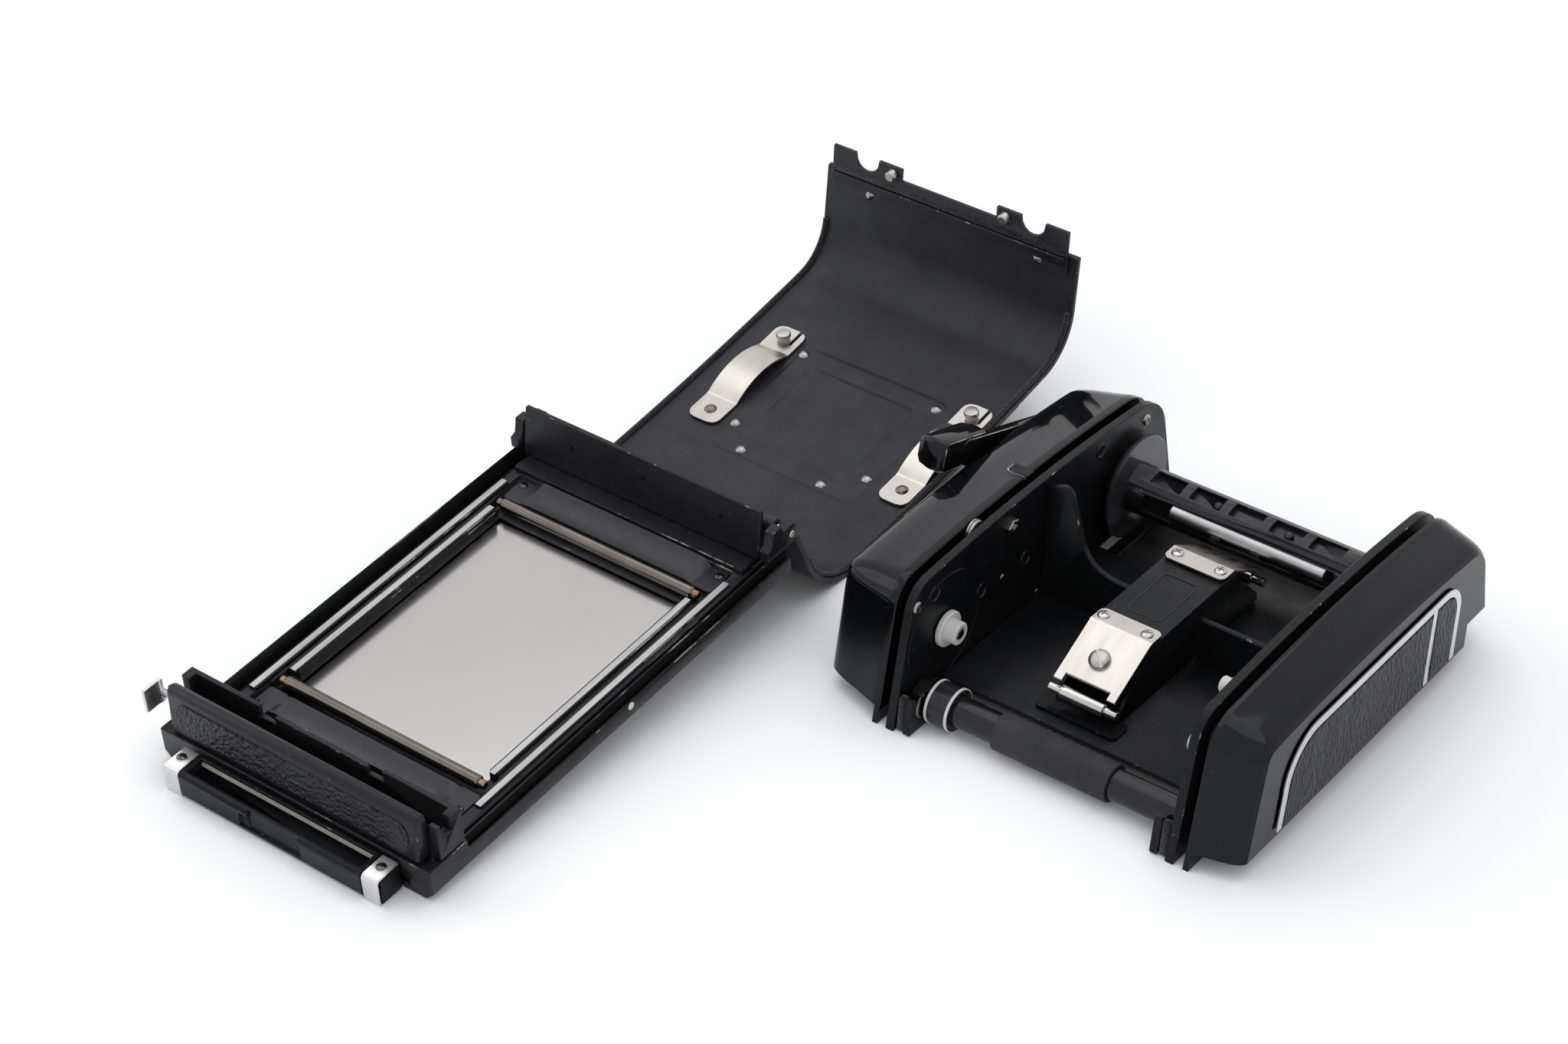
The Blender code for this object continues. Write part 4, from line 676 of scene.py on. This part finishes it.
def add_holder_details():
    fold = plate([(-67.8, -0.75), (-67.25, -0.75), (-67.25, 0.1)], -25.4, 25.4, X_AXIS)
    detail("slide_fold", fold, cream_edge, "slide_steel", "slide")
    # Black strips on the outer faces of the lips: painted shade that darkens the seam groove
    for label, side in SIDES:
        span = across(side, 38.2, 38.4)
        dark_strip = block((span[0], -53.3, -2.35), (span[1], 59.5, 1.2))
        detail("wall_seal_" + label, dark_strip, painted_shade_black, "felt", "holder", 0.05)
    dot = lathe([(0, 39.85), (0.75, 39.82), (0.95, 39.7), (0.95, 39.4), (0, 39.4)], (0.0, 0.8, -2.1), 24)
    detail("index_dot", dot, white_nylon, "nylon", "holder")
    caps = [(-29.5, -69.3, 0.8), (29.2, -69.3, 0.8)]
    fasten("slide_cap_screws", "cross", 1.15, caps, UP, dark_steel, "slide", (0.3, 0.9))
    fasten("slide_cap_sinks", "ring", 1.5, caps, UP, satin_chrome, "slide")
    corners = [(x, y, -1.5) for x in (-29.6, 29.6) for y in (-45.6, 45.6)]
    fasten("retainer_screws", "cross", 1.2, corners, UP, black_screw, "holder",
           (0.4, 1.4, 2.4, 3.4))
    bosses = [(x, 50.6, 0.58) for x in (-21.0, 0.5, 21.5)]
    fasten("ledge_bosses", "hole", 1.7, bosses, UP, satin_paint, "holder")
    # Black discs in the hinge wall's holes: painted shade inside the holes
    wall_y, wall_foot, slope = 53.0, 0.9, 2.2 / 12.7
    holes = [(x, wall_y + (z - wall_foot) * slope, z) for x, z in ((-20.5, 8.0), (1.0, 8.6), (24.0, 8.0))]
    fasten("hinge_wall_holes", "hole", 0.65, holes, (0.0, -1.0, slope), painted_shade_black, "holder")


# Back cover

def rectangle_distance(spot, low, high, radius):
    """Distance outwards from a round-cornered rectangle."""
    dx, dy = (abs(p - (a + b) / 2) - (b - a) / 2 + radius for p, a, b in zip(spot, low, high))
    return hypot(max(dx, 0.0), max(dy, 0.0)) + min(max(dx, dy), 0.0) - radius


def clamped(t):
    return min(max(t, 0.0), 1.0)


def step_up(t):
    t = clamped(t)
    return t * t * (3 - 2 * t)


def emboss(spot):
    """Height of the pressed panel inside the cover, with a line pressed into it."""
    height, edge, deep, half = 0.4, 0.7, 0.3, 0.5
    panel = rectangle_distance(spot, (-19.3, -19.7), (25.1, 23.0), 3.0)
    line = rectangle_distance(spot, (-13.5, -14.1), (18.5, 16.9), 1.5)
    return height * step_up(0.5 - panel / edge) - deep * exp(-(line / half) ** 2)


def graded(low, high, fine_low, fine_high, coarse, fine):
    """Grid lines from low to high, closer together between two of them."""
    found = []
    for a, b, gap in ((low, fine_low, coarse), (fine_low, fine_high, fine), (fine_high, high, coarse)):
        count = max(1, round((b - a) / gap))
        found += [a + (b - a) * i / count for i in range(count)]
    return found + [high]


def dress_cover():
    outer, inner = cover_arch(0.0), cover_arch(COVER_SHEET)
    fine, flat_z, flat_y, panel_z = 0.5, 32.5, 27, 30.0
    xs = graded(-COVER_HALF, COVER_HALF, -21.5, 27.5, 2.2, fine)
    rows, fine_rows = list(zip(outer, inner)), []
    for (o1, i1), (o2, i2) in zip(rows, rows[1:]):
        flat = min(i1[1], i2[1]) > flat_z and abs(i1[0]) < flat_y
        count = max(1, round(dist(o1, o2) / (fine if flat else 2.0)))
        for t in (k / count for k in range(count)):
            fine_rows.append([[p + (q - p) * t for p, q in zip(a, b)] for a, b in ((o1, o2), (i1, i2))])
    fine_rows.append(rows[-1])
    work = bmesh.new()
    tops, unders = [], []
    for o, i in fine_rows:
        normal = Vector((i[0] - o[0], i[1] - o[1])).normalized()
        tops.append([work.verts.new((x, *o)) for x in xs])
        lifts = [emboss((x, i[0] - COVER_MID)) if i[1] > panel_z else 0.0 for x in xs]
        unders.append([work.verts.new((x, i[0] + normal.x * lift, i[1] + normal.y * lift))
                       for x, lift in zip(xs, lifts)])
    strips = [(a, b) for sheet in (tops, unders) for a, b in zip(sheet, sheet[1:])]
    for end in (0, -1):
        strips += [(tops[end], unders[end]), ([row[end] for row in tops], [row[end] for row in unders])]
    for a, b in strips:
        for k in range(len(a) - 1):
            work.faces.new((a[k], a[k + 1], b[k + 1], b[k]))
    face_outwards(work)
    break_edges(work, 0.25, 60.0)
    made_for("cover_shell", work, charcoal_sheet)
    felt = 0.85
    for label, side in SIDES:
        rings = []
        for low, high in zip(cover_arch(COVER_SHEET + FIT)[1:-1], cover_arch(COVER_SHEET + FIT + felt)[1:-1]):
            waist = [a + 0.6 * (b - a) for a, b in zip(low, high)]
            rings.append([(side * x, *spot) for x, spot in (
                (37.2, low), (37.2, waist), (37.5, high), (38.2, high), (38.5, waist), (38.5, low))])
        made_for("cover_felt_" + label, skin(rings), black_felt, sharp=60.0)
    for name in ("cover_hinge_leaf", "lip_plate"):
        dressed(name, charcoal_sheet, 0.12)
    dressed("lip_bar", satin_paint, 0.2)
    dressed("memo_holder", satin_chrome, 0.12)


def crown_under(y):
    """Height of the cover's inner face under the springs."""
    radius = COVER_CROWN - COVER_SHEET
    return COVER_TOP - COVER_SHEET - FIT - radius + sqrt(radius * radius - y * y)


def dress_springs():
    rivet_y, stud_y, seat_half, rise, sheet = 12.6, -18.3, 4.6, 2.8, 0.6
    first, last, corner, count = rivet_y + seat_half, stud_y - seat_half, 2.6, 110
    for name, middle, half in (("left", -25.9, 4.6), ("right", 32.7, 4.3)):
        rings = []
        for i in range(count + 1):
            y = first + (last - first) * i / count
            run = clamped((rivet_y - seat_half - y) / (rivet_y - stud_y - 2 * seat_half))
            z = crown_under(y) - rise * 4.0 * run * (1.0 - run)
            end = min(first - y, y - last, corner)
            cut = corner - sqrt(max(corner ** 2 - (corner - end) ** 2, 0.0))
            a, b, y = middle - half + cut, middle + half - cut, y + COVER_MID
            rings.append([(a, y, z), (b, y, z), (b, y, z - sheet), (a, y, z - sheet)])
        seat = crown_under(stud_y)
        fork = block((middle + 2.0, last + COVER_MID - 1.0, seat - 3.0),
                     (middle + 2.9, stud_y + COVER_MID + 1.0, seat + 1.0))
        made_for("spool_spring_" + name, carve(skin(rings), fork), spring_nickel, 0.07)
        head = seat - sheet - FIT
        profile = [(0, seat - 0.1), (1.25, seat - 0.1)] + [(r, head - drop) for r, drop in (
            (1.25, 0.8), (1.85, 0.8), (1.95, 1.0), (1.95, 1.7), (1.75, 2.05), (1.2, 2.2), (0, 2.25))]
        stud = lathe(profile, (middle, stud_y + COVER_MID, 0.0), 36, "Z")
        made_for("spring_stud_" + name, stud, pin_steel)
    under = [(x, y + COVER_MID, crown_under(y) + 0.02) for x, y in (
        (-18.4, -16.7), (-17.6, 13.3), (-10.2, 20.7), (14.5, 20.7), (23.0, 13.1), (22.9, -16.8))]
    fasten("cover_rivets", "dome", 1.5, under, DOWN, rivet_steel, "back_cover")
    held = [(x, y + COVER_MID, crown_under(y) - sheet + 0.02) for x, y in ((-25.85, 12.8), (33.0, 12.2))]
    fasten("spring_rivets", "dome", 1.7, held, DOWN, dark_steel, "back_cover")


def end_wall(z, inset):
    return COVER_MID - COVER_BASE + inset / cos(COVER_LEAN) + (z - COVER_BASE_Z) * tan(COVER_LEAN)


def dress_lip():
    way = (0.0, cos(COVER_LEAN), -sin(COVER_LEAN))
    near, far, pin_x, pin_z = COVER_SHEET + FIT, COVER_SHEET + FIT + 0.9, 17.4, 2.3
    pin_y = end_wall(pin_z, (near + far) / 2) + 0.5
    profile = [(0, 2.2), (1.1, 2.2), (1.45, 1.95), (1.5, 1.7), (1.5, -0.4), (1.2, -0.7), (0, -0.7)]
    for label, side in SIDES:
        made_for("lip_pin_" + label, lathe(profile, (side * pin_x, pin_y, pin_z), 32, "Y"), pin_steel)
    rivets = [(x, end_wall(z, far) + 0.02, z) for x, z in ((-24.2, 10.65), (27.75, 10.3))]
    fasten("lip_rivets", "dome", 1.35, rivets, way, rivet_steel, "back_cover")
    dark_strip = [(end_wall(z, far + out), z) for z, out in ((5.2, 0.02), (5.3, 0.75), (6.7, 0.75), (6.8, 0.02))]
    detail("lip_seal", plate(dark_strip, -35.4, 35.4, X_AXIS), black_felt, "felt", "back_cover", 0.2, 60.0)


# Insert

def dress_plates():
    bores = ((SUPPLY, 3.2), (TAKEUP, 3.2), (METER, 1.8), (GUIDE, 1.8))
    for name, side in SIDES:
        outline = insert_arch(0.0) + [(-45.0, 0.0), (-45.0, 3.2), (45.0, 3.2), (45.0, 0.0)]
        work = plate(outline, *across(side, PLATE_IN, PLATE_OUT), X_AXIS, [circle(c, r) for c, r in bores])
        made_for("side_plate_" + name, work, insert_black, 0.18)
        work = plate(insert_arch(6.0, 4.5), *across(side, PLATE_OUT + FIT, CHEEK_IN - FIT), X_AXIS,
                     [circle(c, r + FIT) for c, r in bores[:2]])
        if side < 0:
            work = carve(work, rod(3.6, -PLATE_OUT, -CHEEK_IN, (COUNTER[0], COUNTER[1] - 2.0)))
        made_for("groove_felt_" + name, work, black_felt)


def smoothed(points, rounds=3):
    """Corner cutting that keeps both ends."""
    for i in range(rounds):
        cut = [points[0]]
        for a, b in zip(points, points[1:]):
            cut.append(tuple(p * 0.75 + q * 0.25 for p, q in zip(a, b)))
            cut.append(tuple(p * 0.25 + q * 0.75 for p, q in zip(a, b)))
        points = cut + [points[-1]]
    return points


def cheek_rings(side, sections, base, lag=0.0):
    """Arch sections of a cheek; lag draws its outer sections towards the rear."""
    return [[(side * x, y + lag * inset, z) for y, z in insert_arch(base, inset)] for x, inset in sections]


def dress_cheeks():
    soft = [(0.11, 0.0), (0.36, 1.3), (0.72, 2.9), (0.92, 4.3), (1.0, 6.0)]
    crisp = [(0.11, 0.0), (0.36, 0.9), (0.72, 2.0), (0.92, 3.1), (1.0, 4.4)]
    foot_top = 5.5
    for name, side, out, steps, lag in (("left", -1, 58.2, soft, 0.16), ("right", 1, 52.8, crisp, 0.0)):
        deep = out - CHEEK_IN
        sections = [(CHEEK_IN, 0.25), (CHEEK_IN + 0.25, 0.0)]
        sections += [(CHEEK_IN + deep * a, inset) for a, inset in smoothed(steps)]
        work = skin(cheek_rings(side, sections, CHEEK_BASE, lag))
        rim = across(side, CHEEK_IN + 0.1, CHEEK_IN + 1.5)
        front, rear = (insert_arch(0.0, 0.15)[end][0] for end in (-1, 0))
        for y, inner, lean in ((front, -51.0, INSERT_LEANS[0]), (rear, 51.0, -INSERT_LEANS[1])):
            foot = [(y, 0.0), (inner, 0.0), (inner, foot_top), (y + foot_top * tan(lean), foot_top)]
            work = carve(work, plate(foot, *rim, X_AXIS), "UNION")
        hollow = [(CHEEK_IN - 1.0, 2.2), (CHEEK_IN + 0.36 * deep, 3.6), (out - 2.0, 7.0)]
        work = carve(work, skin(cheek_rings(side, hollow, CHEEK_BASE + 2.0)))
        if side > 0:
            work = carve(work, block((43.0, 41.5, 0.0), (60.0, 70.0, 11.0)))
        else:
            work = carve(work, rod(3.2, -out - 1, -out + 6, TAKEUP))
        made_for("cheek_" + name, work, gloss_paint, sharp=34.0)


def grip_outline(inset):
    front, rear, top = -45.0 + inset, 34.0 - inset, 29.0 - inset
    big, small, lean = 13.0 - inset, 8.0 - inset, 1.2
    found = [(rear, GRIP_BASE)] + arc((rear - small, top - small), small, 0.0, QUARTER, 16)
    found += arc((front + lean + big, top - big), big, QUARTER, pi, 20)
    return found + [(front, GRIP_BASE)]


def dress_grip():
    inner, outer, width, divider, half = 53.1, 53.7, 1.9, 20.8, 0.95
    around = grip_outline(0.0) + list(reversed(grip_outline(width)))
    trim = carve(plate(around, inner, outer, X_AXIS),
                 block((inner, divider - half, GRIP_BASE), (outer, divider + half, 28.0)), "UNION")
    made_for("grip_trim", trim, satin_chrome, 0.14)
    panel = grip_outline(width + FIT)
    low, high, shoulder = divider + half + FIT, divider - half - FIT, panel[20][1]
    front = [(high, GRIP_BASE), (high, shoulder)] + [p for p in panel if p[0] < high]
    rear = [p for p in panel if p[0] > low]
    rear += [(low, rear[-1][1]), (low, GRIP_BASE)]
    for label, outline in (("front", front), ("rear", rear)):
        leather = plate(outline, inner, outer + 0.1, X_AXIS)
        made_for("grip_leather_" + label, leather, grip_leatherette, 0.2)


def dress_leaves():
    """Nickel leaves on the bridge: screwed pad, round bend and slope down to the roller."""
    edge_y, edge_z, sheet, half, turn, corner, steps = -21.8, 20.7, 0.6, 8.1, 1.6, 1.6, 8
    tip_y, tip_z, pad_end = edge_y - 14.2, 12.75, edge_y + 5.0
    slope = atan2(edge_z - tip_z, edge_y - tip_y)
    bend = arc((edge_y + turn * tan(slope / 2), edge_z - turn), turn, QUARTER, QUARTER + slope, steps)
    angles = [a * pi / 12 for a in range(7)]
    path = [(pad_end - corner * (1 - cos(a)), edge_z) for a in angles] + bend + [(tip_y, tip_z)]
    narrow = [corner * (1 - sin(a)) for a in angles] + [0.0] * (len(bend) + 1)
    for name, way, shift in (("leaf_spring_front", 1, 0.0), ("leaf_spring_rear", -1, -8.3)):
        rings = []
        for i, (y, z) in enumerate(path):
            lean = slope * clamped((i - len(angles)) / steps)
            left, right = FILM_X - half + narrow[i], FILM_X + half - narrow[i]
            low = (shift + way * y, z)
            high = (shift + way * (y - sheet * sin(lean)), z + sheet * cos(lean))
            rings.append([(left, *low), (right, *low), (right, *high), (left, *high)])
        gap = sorted(shift + way * (tip_y + reach) for reach in (-2.0, 1.5))
        work = carve(skin(rings), block((FILM_X - 5.9, gap[0], 8.0), (FILM_X + 5.9, gap[1], 18.0)))
        made_for(name, work, spring_nickel, 0.08)


def dress_lever():
    """Wind lever: round hub, tapering arm and a long thumb block with soft edges."""
    hub, tip, reach, angle, tilt = 9.0, 3.2, 39.0, radians(153.7), radians(164.0)
    inner, outer = -58.7, -61.1
    taper = asin((hub - tip) / reach)
    start = angle + QUARTER - taper
    outline = arc((0.0, 0.0), hub, start, start + pi + 2 * taper, 40)
    end = (cos(angle) * reach, sin(angle) * reach)
    outline += arc(end, tip, angle - QUARTER + taper, angle + QUARTER - taper, 16)
    work = plate(outline, outer, inner, X_AXIS)
    along, upward = (cos(tilt), sin(tilt)), (-sin(tilt), cos(tilt))
    rings = []
    for x, length, height in ((-59.3, 9.0, 3.5), (-60.6, 9.6, 3.9), (-63.6, 9.6, 3.9), (-66.2, 9.0, 3.5),
                              (-67.4, 8.0, 2.7)):
        ring = rounded_box((-length, -height), (length * 0.9, height), 1.1, 4)
        rings.append([(x, end[0] - u * along[0] + v * upward[0], end[1] - u * along[1] + v * upward[1])
                      for u, v in ring])
    work = carve(work, skin(rings), "UNION")
    boss = [(0, -61.9), (4.6, -61.9), (5.2, -61.5), (5.2, -60.5), (0, -60.5)]
    work = carve(work, lathe(boss, (0.0, 0.0, 0.0), 40), "UNION")
    work.transform(Matrix.Translation((0.0, *TAKEUP)))
    made_for("wind_lever", work, lever_paint, 0.22, 34.0)


def dress_turned():
    """Rollers, sleeve, collar, studs, shaft and counter disc."""
    roller = mirrored([(0, 9.1), (0.9, 9.1), (1.1, 8.9), (1.1, 5.8), (1.5, 5.8), (1.7, 5.6)])
    for name, y in (("leaf_roller_front", -36.0), ("leaf_roller_rear", 27.7)):
        made_for(name, lathe(roller, (FILM_X, y, 9.9), 36), bright_steel)
    inside, end, edge = PLATE_IN - FIT, PLATE_OUT - 0.2, 0.3
    for name, radius, at in (("metering_roller", 3.7, METER), ("guide_roller", 3.6, GUIDE)):
        half = [(0, end), (1.5, end), (1.5, inside), (radius - edge, inside), (radius, inside - edge)]
        turned(name, mirrored(half), at, roller_gloss, 48)
    bore = 3.85
    sleeve = [(bore, 16.8), (4.4, 16.8), (4.6, 16.6), (4.6, -13.1), (4.4, -13.3), (bore, -13.3)]
    turned("metering_sleeve", sleeve, METER, matt_rubber, 48)
    collar = [(bore, -24.6), (5.0, -24.6), (5.2, -24.8), (5.2, -30.8), (5.0, -31.0), (bore, -31.0)]
    turned("metering_collar", collar, METER, moulded_black, 48)
    for label, x in (("outer", -24.9), ("inner", -30.3)):
        ring = [(5.1, x + 0.35), (5.32, x + 0.3), (5.32, x - 0.3), (5.1, x - 0.35)]
        detail("collar_ring_" + label, lathe(ring, (0.0, *METER), 48), white_nylon, "nylon", "meter")
    nylon = [(0, -31.6), (1.7, -31.6), (1.7, -31.3), (2.5, -31.3), (2.8, -31.6), (2.85, -34.1), (4.1, -34.1),
             (4.4, -34.4), (4.4, -35.3), (4.2, -35.5), (2.9, -35.5), (2.9, -42.0), (0, -42.0)]
    turned("supply_stud_left", nylon, SUPPLY, white_nylon)
    stem = [(0, 45.6), (4.4, 45.6), (4.4, 42.6), (2.9, 42.6)]
    short = stem + [(2.9, 30.12), (2.6, 29.76), (2.1, 29.4), (0, 29.4)]
    turned("supply_stud_right", short, SUPPLY, white_nylon)
    turned("takeup_stud", stem + [(2.9, 28.2), (2.6, 27.6), (2.1, 27.0), (0, 27.0)], TAKEUP, bright_steel)
    drive = [(0, -29.0), (2.9, -29.0), (2.9, -44.5), (8.5, -44.5), (8.5, -48.0), (2.9, -48.0), (2.9, -58.4),
             (0, -58.4)]
    turned("drive_shaft", drive, TAKEUP, bright_steel)
    disc = [(0, -38.4), (2.8, -38.4), (3.0, -38.6), (3.0, -38.95), (2.65, -39.02), (2.65, -39.18),
            (3.0, -39.25), (3.0, -39.6), (2.8, -39.8), (0, -39.8)]
    turned("counter_roller", disc, COUNTER, pin_steel, 36)


def dress_inside():
    for name, edge in (("insert_floor", 0.12), ("bridge", 0.14), ("pressure_plate", 0.14),
                       ("cross_wall_left", 0.3), ("cross_wall_right", 0.3)):
        dressed(name, insert_black, edge)
    dress_leaves()
    dressed("takeup_spool", moulded_black, 0.12)
    dress_lever()
    dress_turned()


def add_plate_details():
    """Screws, nut, rings and holes, the holes as black discs of painted shade, on the inner face of the left
    plate, and the screws of the leaves.
    """
    def plate_row(name, kind, radius, spots, look, spins=()):
        points = [(-PLATE_IN, y, z) for y, z in spots]
        fasten(name, kind, radius, points, RIGHT, look, "insert", spins)

    screws = [(41.2, 31.1), (-53.35, 30.3)]
    plate_row("plate_screws", "cross", 1.5, screws, rivet_steel, (0.5, 1.1))
    plate_row("plate_nut", "nut", 2.4, [(-16.75, 31.95)], rivet_steel, (0.2,))
    rings = [(21.1, 32.8), (-9.55, 19.0), (-46.6, 30.15), (-27.55, 20.0)]
    plate_row("plate_rings", "ring", 2.1, rings, moulded_black)
    # Black discs in the rings and one more spot: painted shade inside the holes
    plate_row("plate_holes", "hole", 1.2, rings + [(-55.1, 14.9)], painted_shade_black)
    plate_row("plate_dots", "dome", 1.0, [(-18.9, 18.85), (-3.25, 5.8)], dark_steel)
    hub = [(-31.7, *SUPPLY)]
    fasten("stud_screw", "slot", 1.5, hub, RIGHT, dark_steel, "supply_left", (0.7,))
    pads = [(x, y, 21.3) for x, y in ((-8.0, -19.4), (3.6, -19.6), (-7.5, 11.3), (4.0, 11.3))]
    spins = (0.0, 0.5, 1.0, 1.5)
    fasten("leaf_screws", "cross", 1.55, pads, UP, bright_steel, "insert", spins)
    slope = (0.0, -7.0, 14.4)
    fasten("leaf_slope_screw", "slot", 2.6, [(-2.3, -29.6, 17.6)], slope, pin_steel, "insert",
           (2.3,))
    stop = [(0, 33.0), (1.6, 33.0), (1.9, 33.3), (1.9, 36.0), (0, 36.0)]
    detail("plate_stop", lathe(stop, (0.0, -38.0, 33.0), 28), white_nylon, "nylon")


def add_spool_details():
    """Clear face of the flange, and the rod and bosses in the spool's core."""
    disc = [(6.3, -32.55), (13.0, -32.55), (13.2, -32.7), (13.2, -33.3), (12.7, -33.5), (12.7, -32.75),
            (6.3, -32.75)]
    detail("flange_face", lathe(disc, (0.0, *TAKEUP), 64), smoky_flange, "black_plastic", "take_up")
    profile = [(0, 22.0), (1.4, 22.0), (1.6, 21.8), (1.6, -19.4), (1.4, -19.6), (0, -19.6)]
    slot_rod = lathe(profile, (0.0, TAKEUP[0] - 5.4, TAKEUP[1] + 1.35), 32)
    detail("spool_slot_rod", slot_rod, brushed_rod, "satin_chrome", "take_up")
    bosses = [(x, TAKEUP[0] - 1.3, TAKEUP[1] + 4.95) for x in (-9.8, 9.4)]
    way = (0.0, -0.25, 0.97)
    fasten("spool_bosses", "dome", 1.2, bosses, way, moulded_black, "take_up")


def add_roller_mounts():
    """Arms and felt pads at the metering roller's ends, and black sheets of painted shade under the take-up
    spool.
    """
    arm_outline = [(-60.6, 0.3), (-53.6, 0.3), (-53.6, 1.0), (-56.7, 7.2), (-58.6, 9.6), (-59.6, 9.6)]
    felt_outline = [(-60.2, 0.4), (-56.5, 0.4), (-57.6, 9.0), (-59.4, 9.0)]
    for label, side in SIDES:
        arm = plate(arm_outline, *across(side, 31.6, 33.6), X_AXIS)
        detail("roller_arm_" + label, arm, insert_black, "satin_black", edge=0.2)
        felt = plate(felt_outline, *across(side, 33.7, 35.6), X_AXIS)
        detail("roller_pad_" + label, felt, black_felt, "felt", edge=0.3, sharp=60.0)
        # Black sheets under the take-up spool: painted shade where the table would show through
        span = across(side, 28.2, 35.4)
        spool_shade = block((span[0], 20.4, 0.3), (span[1], 48.6, 0.8))
        detail("light_shield_" + label, spool_shade, painted_shade_black, "black_sheet", edge=0.1)
    cap = [(0, -31.25), (2.9, -31.25), (3.2, -31.45), (3.2, -31.62), (0, -31.62)]
    crescent = carve(lathe(cap, (0.0, -55.3, 6.3), 36), rod(3.9, -30.0, -33.0, METER, 48))
    detail("roller_end_disc", crescent, dark_steel, "dark_steel")


def add_insert_details():
    add_plate_details()
    inside = rounded_box((-5.95, -12.95), (2.65, 3.85), 1.05)
    line = pad((-6.2, -13.2), (2.9, 4.1), 1.3, 20.3, 20.52, [inside])
    detail("bridge_panel_line", line, moulded_black, "satin_black")
    foot = pad((-12.6, -39.6), (9.0, -33.0), 1.6, 5.5, 6.3)
    detail("leaf_foot", foot, insert_black, "satin_black", edge=0.15)
    add_spool_details()
    tab = pad((-44.9, -5.0), (-39.5, -1.8), 0.6, 36.7, 37.75)
    detail("cheek_tab", tab, gloss_paint, "gloss_black", edge=0.1)
    edging = pad((-45.15, -5.25), (-39.6, -1.7), 0.7, 36.8, 37.55)
    detail("cheek_tab_edging", edging, satin_chrome, "satin_chrome")
    add_roller_mounts()
    recess = [(r, x - PLATE_IN) for r, x in ((13.4, 0.12), (14.0, 0.12), (14.2, -0.1), (13.2, -0.1))]
    detail("supply_ring", lathe(recess, (0.0, *SUPPLY), 64), insert_black, "satin_black")


# Studio

LAMPS = (("overhead_softbox", (-0.2, 0.2, 1.3), 1.4, 5.8), ("left_softbox", (-1.1, -0.5, 0.7), 0.8, 2.0))


def set_stage():
    floor = as_object(block((-6.0, -6.0, -0.05), (6.0, 6.0, 0.0)), "table")
    look = finish("pale_table", (0.955, 0.955, 0.958), 0.85, specular=0.1, tone=0.01, cloud=3.0, relief=0.02)
    floor.data.materials.append(look)
    world = bpy.data.worlds.new("studio")
    bpy.context.scene.world = world
    world.use_nodes = True
    tree = world.node_tree
    tree.nodes.clear()
    path = node(tree, "LightPath")
    seen = math_node(tree, "MAXIMUM", path.outputs["Is Camera Ray"], path.outputs["Is Glossy Ray"])
    seen = math_node(tree, "MAXIMUM", seen, path.outputs["Is Transmission Ray"])
    white = node(tree, "Background", Color=(1.0, 1.0, 1.0, 1.0), Strength=1.0)
    fill = node(tree, "Background", Color=(0.97, 0.98, 1.0, 1.0), Strength=0.87)
    blend = node(tree, "MixShader")
    for source, socket in zip((seen, fill.outputs[0], white.outputs[0]), blend.inputs):
        tree.links.new(source, socket)
    tree.links.new(blend.outputs[0], node(tree, "OutputWorld").inputs["Surface"])
    for name, place, size, power in LAMPS:
        data = bpy.data.lights.new(name, "AREA")
        data.size = size
        data.energy = power
        lamp = placed(name, data)
        lamp.location = place
        lamp.rotation_euler = (-Vector(place)).to_track_quat("-Z", "Y").to_euler()


def set_camera():
    data = bpy.data.cameras.new("photo_camera")
    data.lens = 79.52
    data.sensor_width = 36.0
    data.sensor_fit = "HORIZONTAL"
    data.clip_start = 0.01
    camera = placed("photo_camera", data)
    turn = Matrix(((0.79752, 0.60308, 0.01596), (-0.35855, 0.45254, 0.81649), (0.48518, -0.65689, 0.57715)))
    camera.matrix_world = Matrix.Translation((0.359436, -0.516032, 0.48709)) @ turn.transposed().to_4x4()
    bpy.context.scene.camera = camera


dress_holder()
add_holder_details()
dress_cover()
dress_springs()
dress_lip()
dress_plates()
dress_cheeks()
dress_grip()
dress_inside()
add_insert_details()
for head in HEADS.values():
    bpy.data.objects.remove(head)
set_stage()
set_camera()
bpy.context.scene.view_settings.view_transform = "Standard"
